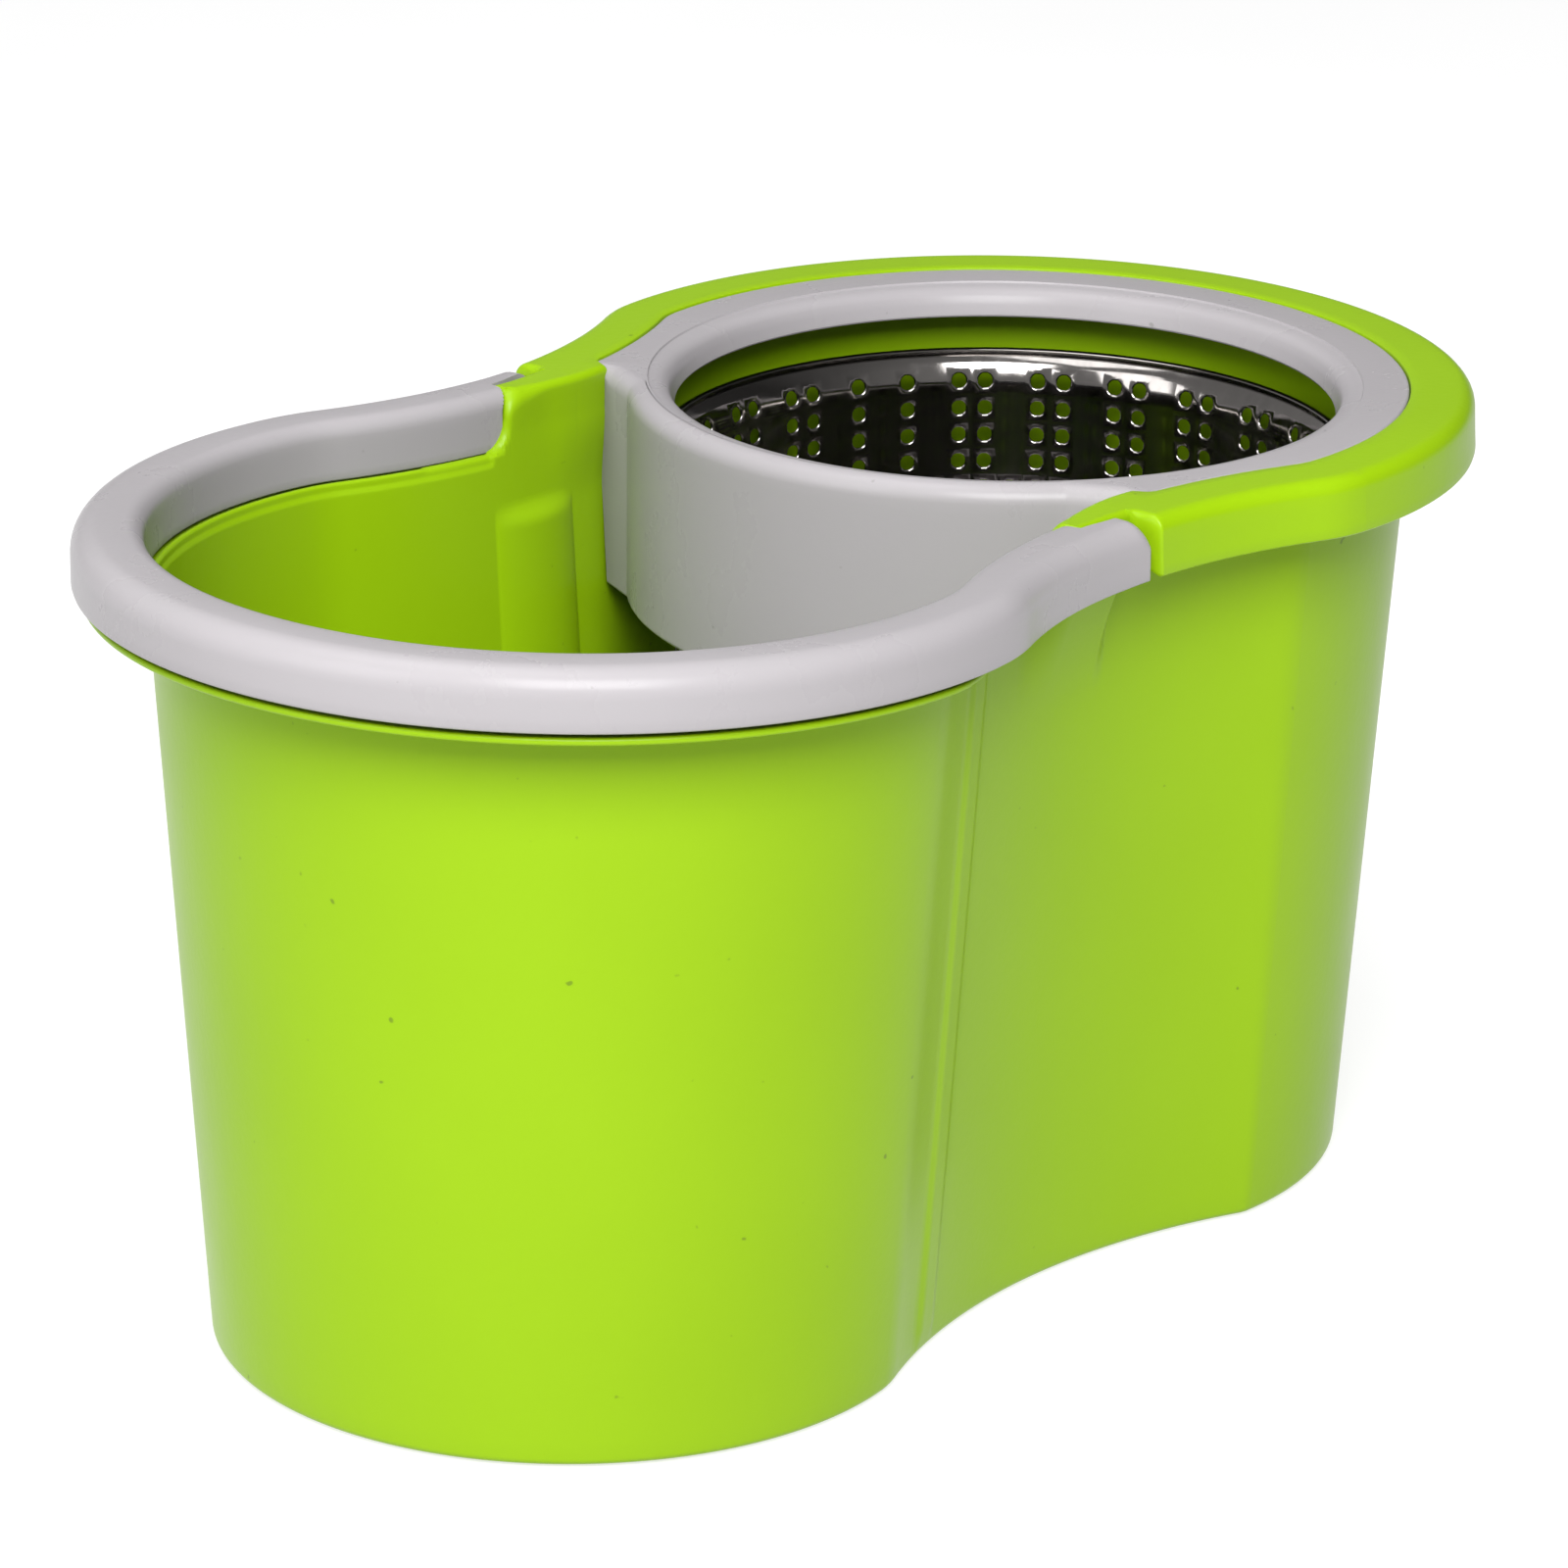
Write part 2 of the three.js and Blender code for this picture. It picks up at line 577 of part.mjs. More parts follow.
// Moulded column, hollow from below, on the floor's four bosses.
function spindlePost() {
  const low = bossTop + gap;
  const plate = low + 3.5;
  const column = turned([
    [14, low], [31, low], [31, plate], [20, plate], [17, plate + 6], [11.5, postTop - 2],
    [10.5, postTop], [0, postTop], [0, 38], [6, 38], [14, low + 3], [14, low],
  ], hubSegments, spinX, 0);
  const ribs = [0, 90].map((degrees) => {
    const geometry = new THREE.BoxGeometry(52, 2.4, 22);
    geometry.rotateZ(THREE.MathUtils.degToRad(degrees));
    geometry.translate(spinX, 0, plate + 10);
    return toSolid(geometry).subtract(rod(12, 0, postTop, smallSegments, spinX, 0));
  });
  const screwHoles = postScrewPlaces.map((place) =>
    rod(screwRadius + gap, low - 1, plate + 4, 10, ...place));
  const socket = rod(shaftRadius + gap, shaftBottom - gap, postTop + 1, smallSegments, spinX, 0);
  return cut(joined([column, ...ribs]), [...screwHoles, socket]);
}

// Pan-head screw. Direction is +1 with the head up and -1 with the head down.
function screw(x, y, headZ, length, direction) {
  const z = (distance) => headZ + direction * distance;
  const whole = turned([
    [0, z(2.4)], [2, z(2.3)], [3.6, z(1.4)], [3.9, z(0)], [screwRadius, z(0)],
    [screwRadius, z(-length + 1.5)], [0, z(-length)],
  ], 12, x, y);
  const slotLow = Math.min(z(1.2), z(4));
  const slotHigh = Math.max(z(1.2), z(4));
  return cut(whole, [
    box(x - 2, x + 2, y - 0.4, y + 0.4, slotLow, slotHigh),
    box(x - 0.4, x + 0.4, y - 2, y + 2, slotLow, slotHigh),
  ]);
}

function handlePin(side) {
  return crossRod(pinRadius, pinInner, pinOuter, 20, side);
}

function rubberFoot(x, y) {
  return turned([[0, 0], [7.4, 0], [8, 0.6], [8, floorUnder - gap], [0, floorUnder - gap]], 16, x, y);
}

// ---------- assembly ----------
const bucket = new THREE.Group();

function place(name, solid, surface) {
  const mesh = new THREE.Mesh(toGeometry(solid), surface);
  mesh.name = name;
  bucket.add(mesh);
}

place("bucket_body", bucketBody(), greenPlastic);
place("carry_handle", carryHandle(), greyPlastic);
place("handle_pin_near", handlePin(-1), whitePlastic);
place("handle_pin_far", handlePin(1), whitePlastic);
place("splash_guard", splashGuard(), greyPlastic);
place("basket_wall", basketWall(), steel);
place("basket_floor", basketFloor(), steel);
place("basket_hub", basketHub(), greyPlastic);
place("hub_carrier", hubCarrier(), whitePlastic);
place("hub_bush_lower", lowerBush(), bronze);
place("hub_bush_upper", upperBush(), bronze);
place("thrust_washer", thrustWasher(), whitePlastic);
place("spindle_shaft", spindleShaft(), steel);
place("retaining_clip", retainingClip(), steel);
place("spindle_post", spindlePost(), whitePlastic);
hubScrewPlaces.forEach(([x, y], at) =>
  place(`hub_screw_${at + 1}`, screw(x, y, basketFloorTop - sheet - 4 - 2 * gap, 11, -1), steel));
postScrewPlaces.forEach(([x, y], at) =>
  place(`post_screw_${at + 1}`, screw(x, y, bossTop + 3.8 + gap, 14, 1), steel));
footPlaces.forEach(([x, y], at) => place(`rubber_foot_${at + 1}`, rubberFoot(x, y), rubber));

export default bucket;
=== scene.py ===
"""Looks for the two-lobed spin mop bucket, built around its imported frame.

Shapes are worked out in millimetres, in the frame's own axes, and become metres in add_piece().
An outline offset, called reach here, is measured out from the wall's outside face at the rim.
"""

import json
import math

import bpy
import numpy as np
from mathutils import Matrix, Vector


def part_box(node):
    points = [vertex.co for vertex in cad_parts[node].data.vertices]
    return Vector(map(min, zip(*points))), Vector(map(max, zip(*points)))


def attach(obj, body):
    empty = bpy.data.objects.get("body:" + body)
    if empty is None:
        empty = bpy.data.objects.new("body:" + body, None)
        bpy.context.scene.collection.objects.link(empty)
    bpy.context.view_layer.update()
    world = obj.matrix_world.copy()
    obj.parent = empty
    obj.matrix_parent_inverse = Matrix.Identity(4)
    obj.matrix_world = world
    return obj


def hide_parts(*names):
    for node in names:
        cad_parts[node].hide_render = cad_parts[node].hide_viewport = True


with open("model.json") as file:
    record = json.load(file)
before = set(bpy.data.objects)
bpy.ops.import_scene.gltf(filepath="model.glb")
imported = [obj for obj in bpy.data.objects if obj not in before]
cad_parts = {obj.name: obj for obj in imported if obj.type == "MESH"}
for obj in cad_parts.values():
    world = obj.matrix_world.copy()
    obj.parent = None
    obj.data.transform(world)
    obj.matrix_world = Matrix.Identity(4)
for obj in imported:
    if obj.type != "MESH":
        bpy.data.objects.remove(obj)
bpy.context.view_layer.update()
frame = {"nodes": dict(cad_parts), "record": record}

# ---------- driving dimensions, from the frame ----------
MM = 0.001


def box_mm(node):
    """Lowest and highest corners of a CAD node, in millimetres."""
    low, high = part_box(node)
    return np.array(low) / MM, np.array(high) / MM


JOINTS = {joint["name"]: joint for joint in frame["record"]["behaviour"]["joints"]}
SPIN_X = JOINTS["basket_spin"]["pos_m"][0] / MM
PIVOT_X = JOINTS["handle_pivot"]["pos_m"][0] / MM
PIVOT_Z = JOINTS["handle_pivot"]["pos_m"][2] / MM
SPIN_FOOT = sum(box_mm("rubber_foot_1"))[0] / 2
WASH_FOOT = sum(box_mm("rubber_foot_3"))[0] / 2
WASH_X = WASH_FOOT + SPIN_FOOT - SPIN_X

BODY_LOW, BODY_HIGH = box_mm("bucket_body")
HANDLE_LOW, HANDLE_HIGH = box_mm("carry_handle")
GUARD_LOW, GUARD_HIGH = box_mm("splash_guard")
DRUM_LOW, DRUM_HIGH = box_mm("basket_wall")
BASE_LOW, BASE_HIGH = box_mm("basket_floor")
HUB_LOW, HUB_HIGH = box_mm("basket_hub")

RIM_TOP = GUARD_HIGH[2] + 0.4
RIM_SLOPE = 0.0179                   # the rim climbs towards the wash basin's far end
RIM_END_X = 12.4                     # the spin lobe's high rim ends here, beside the hinge blocks
RIM_ROUND = 3.0                      # the rim's end rounds down over this length
LEAN = 0.0661                        # how far the wall leans out for each mm of height
WALL = 2.5
WALL_TOP = 212.0                     # the plain wall ends here, and the rim's profile starts
SKIRT_BOTTOM = HANDLE_LOW[2] + 0.6
SKIRT_REACH = 18.5

HANDLE_REACH = 19.0
HANDLE_INNER = -1.0
HANDLE_WALL = 2.2

# Plan outline: two round lobes, joined on each side by a waist and its corners. The radii of the
# waist and its corners are those at the floor, corrected for the wall's lean.
SPIN_RADIUS = BODY_HIGH[1] - SKIRT_REACH
WASH_RADIUS = WASH_X - HANDLE_LOW[0] - HANDLE_REACH
WAIST_RADIUS = 200 - LEAN * RIM_TOP
WAIST_CENTRE = np.array([-1.05, 283.6])
WAIST_HALF = WAIST_CENTRE[1] - WAIST_RADIUS
SPIN_CORNER = 10 + LEAN * RIM_TOP
WASH_CORNER = 40 + LEAN * RIM_TOP

FLOOR_UNDER = 4.0
FLOOR_TOP = 7.0
FLOOR_ROUND = 7.0                    # radius inside, from the floor up into the wall
BASE_EDGE = 2.5                      # radius outside, where the wall meets the floor
FLANGE_TOP = 215.6
FLANGE_THICKNESS = 2.2
COLUMN_X = -5.0                      # shallow column inside the waist
COLUMN_HALF = 16.0
COLUMN_DEPTH = 2.8
BEAD_DEPTH = 0.9

BLOCK_OUTER = 106.3                  # outer face of the hinge blocks, from the middle
BLOCK_REACH = BLOCK_OUTER - WAIST_HALF
BLOCK_RADIUS = 10.5
BLOCK_GAP = 0.35                     # from a hinge block's outer face to the handle
SKIN_REACH = -1.35                   # outer face of the wall's skin beside the handle
NOTCH_X = -23.5                      # round notch in the skin, for the handle's inner leg
NOTCH_Z = 226.0
NOTCH_RADIUS = 9.3
NOTCH_X_END = NOTCH_X + NOTCH_RADIUS
HINGE_START = -19.8                  # from here the hinge's profile takes over from the flange's
HINGE_BLEND = 2.0

GUARD_REACH = -1.2
GUARD_WALL = 2.2
GUARD_PLATE = 2.4
GUARD_CORNER_X = 29.0
GUARD_EDGE = 0.8                     # radius of the plate's edge
GUARD_FOLD = 5.5                     # radius from the plate down into the wall

# Every profile of the rim has the same number of points in each of its stretches, so that one
# profile can turn into another along the outline.
WEB_POINTS = 12
UNDER_POINTS = 6
FACE_POINTS = 26
TOP_POINTS = 6
INSIDE_POINTS = 22


def smooth(value, start, end):
    """0 before start, 1 after end, and an S curve between."""
    share = np.clip((value - start) / (end - start), 0, 1)
    return share * share * (3 - 2 * share)


def wall_at(z):
    """Reach of the wall's outside face at height z."""
    return LEAN * (z - RIM_TOP)


# ---------- meshes ----------
def add_piece(name, points, faces, body, material, slot, node, crease_degrees=32):
    """Object that stands for a CAD node. Edges sharper than the crease stay sharp."""
    mesh = bpy.data.meshes.new(name)
    mesh.from_pydata((np.asarray(points, float) * MM).tolist(), [], faces)
    mesh.validate()
    mesh.shade_smooth()
    mesh.set_sharp_from_angle(angle=math.radians(crease_degrees))
    mesh.materials.append(material)
    piece = bpy.data.objects.new(name, mesh)
    bpy.context.scene.collection.objects.link(piece)
    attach(piece, body)
    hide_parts(node)


def grid_faces(rows, columns, close_rows, close_columns):
    """Quads between rows of points that are stored one row after another."""
    faces = []
    for row in range(rows if close_rows else rows - 1):
        here = row * columns
        there = ((row + 1) % rows) * columns
        for column in range(columns if close_columns else columns - 1):
            after = (column + 1) % columns
            faces.append((here + column, there + column, there + after, here + after))
    return faces


def turned(profile, segments):
    """Points and faces of a closed (radius, z) loop that is turned about the basket's axis."""
    points = [
        (SPIN_X + radius * math.cos(turn), radius * math.sin(turn), z)
        for turn in np.linspace(0, 2 * math.pi, segments, endpoint=False)
        for radius, z in profile
    ]
    return points, grid_faces(segments, len(profile), True, True)


def joined(*parts):
    """One list of points and faces from several."""
    points = []
    faces = []
    for part_points, part_faces in parts:
        shift = len(points)
        points.extend(part_points)
        faces.extend([tuple(corner + shift for corner in face) for face in part_faces])
    return points, faces


def arc(across, up, radius, start, end, steps, radius_up=None):
    """Profile points on an arc. Angles are in degrees, 0 outward and 90 up."""
    tall = radius if radius_up is None else radius_up
    return [
        (across + radius * math.cos(math.radians(turn)), up + tall * math.sin(math.radians(turn)))
        for turn in np.linspace(start, end, steps)
    ]


def filled_out(points, count):
    """Splits the longest steps of a line until it has count points, and keeps its corners."""
    line = [tuple(map(float, point)) for point in points]
    while len(line) < count:
        steps = [math.dist(a, b) for a, b in zip(line, line[1:])]
        longest = int(np.argmax(steps))
        a, b = line[longest], line[longest + 1]
        line.insert(longest + 1, ((a[0] + b[0]) / 2, (a[1] + b[1]) / 2))
    return line


def mixed(profile_a, profile_b, share):
    """Profile part of the way from one to another that has as many points."""
    return [
        (a[0] + (b[0] - a[0]) * share, a[1] + (b[1] - a[1]) * share)
        for a, b in zip(profile_a, profile_b)
    ]


# ---------- plan outline ----------
def circles_meet(a, radius_a, b, radius_b, x_side):
    """Where two circles meet, at the point further to the given side in X."""
    between = b - a
    distance = np.linalg.norm(between)
    along = (distance ** 2 + radius_a ** 2 - radius_b ** 2) / (2 * distance)
    across = math.sqrt(radius_a ** 2 - along ** 2)
    direction = between / distance
    square = np.array([-direction[1], direction[0]]) * across
    if square[0] * x_side < 0:
        square = -square
    return a + direction * along + square


def outline_stations():
    """Stations round the outline: (centre, radius, grow, angle), anticlockwise from the near spin corner.

    Moving a station out by a reach adds grow times the reach to its radius, about a fixed centre.
    """
    spin = np.array([SPIN_X, 0.0])
    wash = np.array([WASH_X, 0.0])
    spin_corner = circles_meet(
        spin, SPIN_RADIUS - SPIN_CORNER, WAIST_CENTRE, WAIST_RADIUS + SPIN_CORNER, 1)
    wash_corner = circles_meet(
        wash, WASH_RADIUS - WASH_CORNER, WAIST_CENTRE, WAIST_RADIUS + WASH_CORNER, -1)

    def bearing(start, end):
        return math.atan2(end[1] - start[1], end[0] - start[0])

    def spaced(centre, radius, grow, start, end, spacing):
        steps = max(2, round(abs(end - start) * radius / spacing))
        return [(centre, radius, grow, turn) for turn in np.linspace(start, end, steps, endpoint=False)]

    waist_start = bearing(WAIST_CENTRE, spin_corner)
    waist_end = bearing(WAIST_CENTRE, wash_corner)
    x = WAIST_CENTRE[0] + WAIST_RADIUS * math.cos(waist_start)
    end_x = WAIST_CENTRE[0] + WAIST_RADIUS * math.cos(waist_end)
    waist = []
    # Finer steps at the rim's end, the hinge, the skin's end and the notch.
    for until, step in (
            (16.5, 2.5), (12, 0.25), (-10, 0.5), (-15, 0.25), (-27, 0.5), (-56, 1.0), (end_x, 2.5)):
        for place in np.arange(x, until, -step):
            turn = -math.acos((place - WAIST_CENTRE[0]) / WAIST_RADIUS)
            waist.append((WAIST_CENTRE, WAIST_RADIUS, -1, turn))
        x = until
    spin_turn = bearing(spin, spin_corner)
    wash_turn = bearing(wash, wash_corner)
    far_side = (
        spaced(spin_corner, SPIN_CORNER, 1, spin_turn, bearing(spin_corner, WAIST_CENTRE), 2.0)
        + waist
        + spaced(wash_corner, WASH_CORNER, 1, bearing(wash_corner, WAIST_CENTRE), wash_turn, 2.5)
    )
    mirror = np.array([1, -1])
    near_side = [
        (centre * mirror, radius, grow, -turn) for centre, radius, grow, turn in reversed(far_side)
    ]
    return (
        spaced(spin, SPIN_RADIUS, 1, -spin_turn, spin_turn, 3.5)
        + far_side
        + spaced(wash, WASH_RADIUS, 1, wash_turn, 2 * math.pi - wash_turn, 3.5)
        + near_side
    )


STATIONS = outline_stations()


def plan_point(station, reach):
    """Point in plan, a reach out from a station."""
    centre, radius, grow, turn = station
    length = radius + grow * reach
    return centre[0] + length * math.cos(turn), centre[1] + length * math.sin(turn)


# ---------- bucket body ----------
def risen(points, share):
    """Lifts points along the slope of the wash basin's rim; share(z) is how much of it a height gets."""
    points = np.array(points, float)
    points[:, 2] += RIM_SLOPE * np.maximum(0, PIVOT_X - points[:, 0]) * share(points[:, 2])
    return points


def column_inset(x, z):
    """Shallow moulded column at the waist that stands into the basin."""
    across = np.clip(1 - ((x - COLUMN_X) / COLUMN_HALF) ** 2, 0, 1)
    return COLUMN_DEPTH * across ** 0.8 * (1 - smooth(z, 195, 201))


def inside_edge(x):
    """Reach of the rim's inner face at the top, and the radius of its edge, where there is no guard."""
    edge = 2.4 + 2.6 * (1 - smooth(x, -12, 4))
    corner_line = -0.4 - 5.0 * smooth(x, -16, 24)
    behind_line = 0.51                 # share of the radius from the corner's line in to the face
    return corner_line - behind_line * edge, edge


def inner_reach(x, z):
    """Reach of the wall's inside face. Its upper part grows thicker towards the guard's corners."""
    thickest_z = 222
    plain = wall_at(np.minimum(z, thickest_z)) - WALL
    most = inside_edge(x)[0] - wall_at(thickest_z) + WALL
    thicker = most * (1 - smooth(x, 31, 40)) * smooth(z, 196, thickest_z)
    return plain + np.minimum(thicker, -column_inset(x, z))


def notch_distance(x, z):
    """Distance from the edge that the inner skin makes round the handle's inner leg."""
    if z > NOTCH_Z:
        return x - NOTCH_X_END
    if x < NOTCH_X:
        return NOTCH_Z - NOTCH_RADIUS - z
    return math.hypot(x - NOTCH_X, z - NOTCH_Z) - NOTCH_RADIUS


def softened(x, z):
    """How far the inside face falls back to the rounded edge of the notch."""
    edge_width = 2.2
    near = min(1.0, max(0.0, notch_distance(x, z) / edge_width))
    return 1.0 - math.sqrt(1 - (1 - near) ** 2)


def spin_rim_profile(x):
    """High rim round the spin lobe: web, skirt, flat top, rebate and the ledge under the guard."""
    rebate = GUARD_REACH + 0.3
    ledge_top = GUARD_HIGH[2] - 2.7
    inner = wall_at(225) - WALL
    in_rebate = smooth(x, GUARD_CORNER_X - 0.6, GUARD_CORNER_X + 0.2)
    ledge = inner + (-5.0 - inner) * smooth(x, 33, 40)
    under_z = 231.2
    web = filled_out([(wall_at(WALL_TOP), WALL_TOP), (wall_at(220), 220)]
                     + arc(wall_at(228) + 3, under_z - 3, 3, 180, 90, 6), WEB_POINTS)
    under = filled_out([(6, under_z), (10, under_z), (12.6, under_z)], UNDER_POINTS)
    skirt = filled_out(
        arc(13, under_z - 2, 2, 90, 0, 4) + [(15.7, 223), (16.4, 218)]
        + arc(17.45, 217.85, 1.05, 180, 360, 6) + [(18.2, 223)]
        + arc(13.2, 229.3, 4.7, 4, 90, 9), FACE_POINTS)
    top = filled_out([(10, RIM_TOP), (6, RIM_TOP), (3, RIM_TOP)], TOP_POINTS)
    stepped = filled_out(
        arc(rebate + 0.6, RIM_TOP - 0.6, 0.6, 90, 180, 3)
        + [(rebate, ledge_top + 0.4), (rebate - 0.3, ledge_top), (ledge + 0.5, ledge_top),
           (ledge, ledge_top - 0.5), (ledge, ledge_top - 1.6), (inner, 226.5),
           (inner_reach(x, 219), 219), (inner_reach(x, WALL_TOP), WALL_TOP)], INSIDE_POINTS)
    return web + under + skirt + top + mixed(plain_inside(x, RIM_TOP), stepped, in_rebate)


def plain_inside(x, high):
    """Rounded inner edge of the rim where there is no rebate, down to the wall."""
    inner, edge = inside_edge(x)
    face_top = 226
    low = min(face_top, high - edge)
    squeeze = (low - WALL_TOP) / (face_top - WALL_TOP)
    face = [(inner_reach(x, z), low - (face_top - z) * squeeze) for z in (222, 219, 215, WALL_TOP)]
    return filled_out(arc(inner + edge, high - edge, edge, 90, 180, 9) + face, INSIDE_POINTS)


def wash_flange_profile(x):
    """Low flange under the folded handle, with a round bead along the basin's edge."""
    under_z = FLANGE_TOP - FLANGE_THICKNESS
    half = FLANGE_THICKNESS / 2
    reach = 16.6 - 7.0 * smooth(x, -100, -62)
    foot = wall_at(WALL_TOP)
    web = filled_out([(foot, WALL_TOP)] + arc(foot + 1.1, under_z - 1, 1, 180, 90, 4), WEB_POINTS)
    under = filled_out([(2, under_z), (5, under_z), (8, under_z)], UNDER_POINTS)
    edge = filled_out(arc(reach - half, FLANGE_TOP - half, half, -90, 90, 9), FACE_POINTS)
    top = filled_out([(8, FLANGE_TOP), (5, FLANGE_TOP), (0, FLANGE_TOP)], TOP_POINTS)
    skin_top = NOTCH_Z - NOTCH_RADIUS
    inside = filled_out(
        [(SKIN_REACH + 0.3, FLANGE_TOP), (SKIN_REACH, FLANGE_TOP + 0.3)]
        + arc(-2.1, skin_top - 1.0, 1.0, 40, 180, 10) + [(-3.2, skin_top - 2.2)]
        + [(inner_reach(x, z), z) for z in (WALL_TOP + 1, WALL_TOP)], INSIDE_POINTS)
    return web + under + edge + top + inside


def gusset_share(x):
    """1 under a hinge block, and 0 away from it."""
    return smooth(x, -26, -8) * (1 - smooth(x, 10.0, 15.0))


def gusset_reach(x, z):
    """How far the rib under a hinge block stands out from the wall."""
    block_bottom = PIVOT_Z - BLOCK_RADIUS
    gusset_bottom = 180
    rise = np.clip((z - gusset_bottom) / (block_bottom - gusset_bottom), 0, 1) ** 1.5
    return gusset_share(x) * rise * (BLOCK_REACH - wall_at(block_bottom))


def crest(x):
    """Top of the wall's skin, rounded down where it ends beside the handle's inner leg."""
    corner = 6.5
    along = min(corner - 0.1, max(0, NOTCH_X_END + corner - x))
    return RIM_TOP - corner + math.sqrt(corner ** 2 - along ** 2)


def hinge_profile(x):
    """Wall beside a hinge: a thin skin, and the block that carries the pin where there is one."""
    inside = BLOCK_RADIUS ** 2 - min(0, x - PIVOT_X) ** 2
    base = wall_at(WALL_TOP) + gusset_reach(x, WALL_TOP)
    if inside <= 0:
        return skin_profile(x, base)
    half = math.sqrt(inside)
    low = PIVOT_Z - half
    high = min(RIM_TOP, PIVOT_Z + half)
    out = BLOCK_REACH
    lower_edge = min(1.6, half / 2)
    upper_edge = min(2.2, half / 2)
    web = filled_out([(base, WALL_TOP), (base + 0.1, WALL_TOP + 1)], WEB_POINTS)
    under = filled_out([(base + 0.2, min(low, 215.2)), (out - lower_edge, low)], UNDER_POINTS)
    face = filled_out(arc(out - lower_edge, low + lower_edge, lower_edge, -90, 0, 4)
                      + arc(out - upper_edge, high - upper_edge, upper_edge, 0, 90, 8), FACE_POINTS)
    inner, edge = inside_edge(x)
    top = filled_out([(out - upper_edge, high), (inner + edge + 0.2, high)], TOP_POINTS)
    skin = [
        (reach, min(z, high) if reach > SKIN_REACH else z) for reach, z in plain_inside(x, crest(x))
    ]
    return web + under + face + top + skin


def skin_profile(x, base):
    """Wall beside the notch: only the thin skin, whose top follows the notch."""
    skin_top = NOTCH_Z - math.sqrt(max(0, NOTCH_RADIUS ** 2 - (x - NOTCH_X) ** 2))
    low = 215
    out = SKIN_REACH
    edge = 0.2
    web = filled_out([(base, WALL_TOP), (base + 0.1, WALL_TOP + 1)], WEB_POINTS)
    under = filled_out([(base + 0.2, low), (out - edge, low)], UNDER_POINTS)
    face = filled_out(arc(out - edge, low + edge, edge, -90, 0, 4)
                      + arc(out - edge, skin_top - 0.5 - edge, edge, 0, 90, 6), FACE_POINTS)
    top = filled_out([(out - edge, skin_top - 0.5), (out - edge, skin_top - 0.45)], TOP_POINTS)
    inside = filled_out(
        [(out, skin_top - 0.4)] + arc(-1.9, skin_top - 0.5, 0.55, 20, 170, 6)
        + [(inner_reach(x, z), z) for z in (219, 216, 214, WALL_TOP) if z < skin_top - 1],
        INSIDE_POINTS)
    return web + under + face + top + inside


def rim_profile(x):
    """Upper profile of the body at a place along its length, the same on both sides."""
    if x > RIM_END_X + RIM_ROUND:
        return spin_rim_profile(x)
    if x > RIM_END_X:
        beyond = (x - RIM_END_X) / RIM_ROUND
        whole = math.sqrt(1 - (1 - min(1, beyond * 1.4)) ** 2.2)
        drop = RIM_ROUND * (1 - math.sqrt(1 - (1 - beyond) ** 2))
        profile = mixed(hinge_profile(RIM_END_X), spin_rim_profile(x), whole)
        return [
            (reach, z - drop * smooth(z, 216, 230) * smooth(reach, 7, 10)) for reach, z in profile
        ]
    if x > HINGE_START:
        return hinge_profile(x)
    share = smooth(x, HINGE_START - HINGE_BLEND, HINGE_START)
    return mixed(wash_flange_profile(x), hinge_profile(HINGE_START), share)


def bead_height(x, z):
    """Raised vertical bead on the outside of the waist."""
    across = smooth(x, -56, -53) - smooth(x, -47, -44)
    return BEAD_DEPTH * across * (1 - smooth(z, 208, 214))


def body_section(x):
    """The body's whole section at a place along its length, from under the floor round to its top."""
    foot = BODY_LOW[2]
    foot_reach = wall_at(foot + BASE_EDGE)
    base = [(foot_reach - 9, FLOOR_UNDER), (foot_reach - 7.6, FLOOR_UNDER - 0.4),
            (foot_reach - 7.2, foot + 0.5), (foot_reach - 6.7, foot)]
    base += arc(foot_reach - BASE_EDGE, foot + BASE_EDGE, BASE_EDGE, 270, 356, 7)
    outer_heights = np.concatenate([np.arange(8, 180, 8), np.arange(180, 211, 3)])
    outer = [(wall_at(z) + gusset_reach(x, z) + bead_height(x, z), z) for z in outer_heights]
    inner_heights = np.concatenate([np.arange(210, 180, -1.5), np.arange(180, 16, -8)])
    inner = [(inner_reach(x, z), z) for z in inner_heights]
    floor_corner = FLOOR_TOP + FLOOR_ROUND
    floor = arc(inner_reach(x, floor_corner) - FLOOR_ROUND, floor_corner, FLOOR_ROUND, 0, -90, 8)
    return base + outer + rim_profile(x) + inner + floor


def bucket_body():
    """The section swept round the outline, and closed over and under the floor."""
    points = []
    for station in STATIONS:
        x = plan_point(station, 0)[0]
        beside_notch = -45 < x < 6
        for reach, z in body_section(x):
            if beside_notch and reach < SKIN_REACH + 0.2 and z > 210:
                reach += softened(x, z)
            points.append((*plan_point(station, reach), z))
    count = len(points) // len(STATIONS)
    faces = grid_faces(len(STATIONS), count, True, False)
    under = len(points)
    points += [(0, 0, FLOOR_UNDER), (0, 0, FLOOR_TOP)]
    for at in range(len(STATIONS)):
        here = at * count
        there = ((at + 1) % len(STATIONS)) * count
        faces.append((under, there, here))
        faces.append((under + 1, here + count - 1, there + count - 1))
    return risen(points, lambda z: z / RIM_TOP), faces


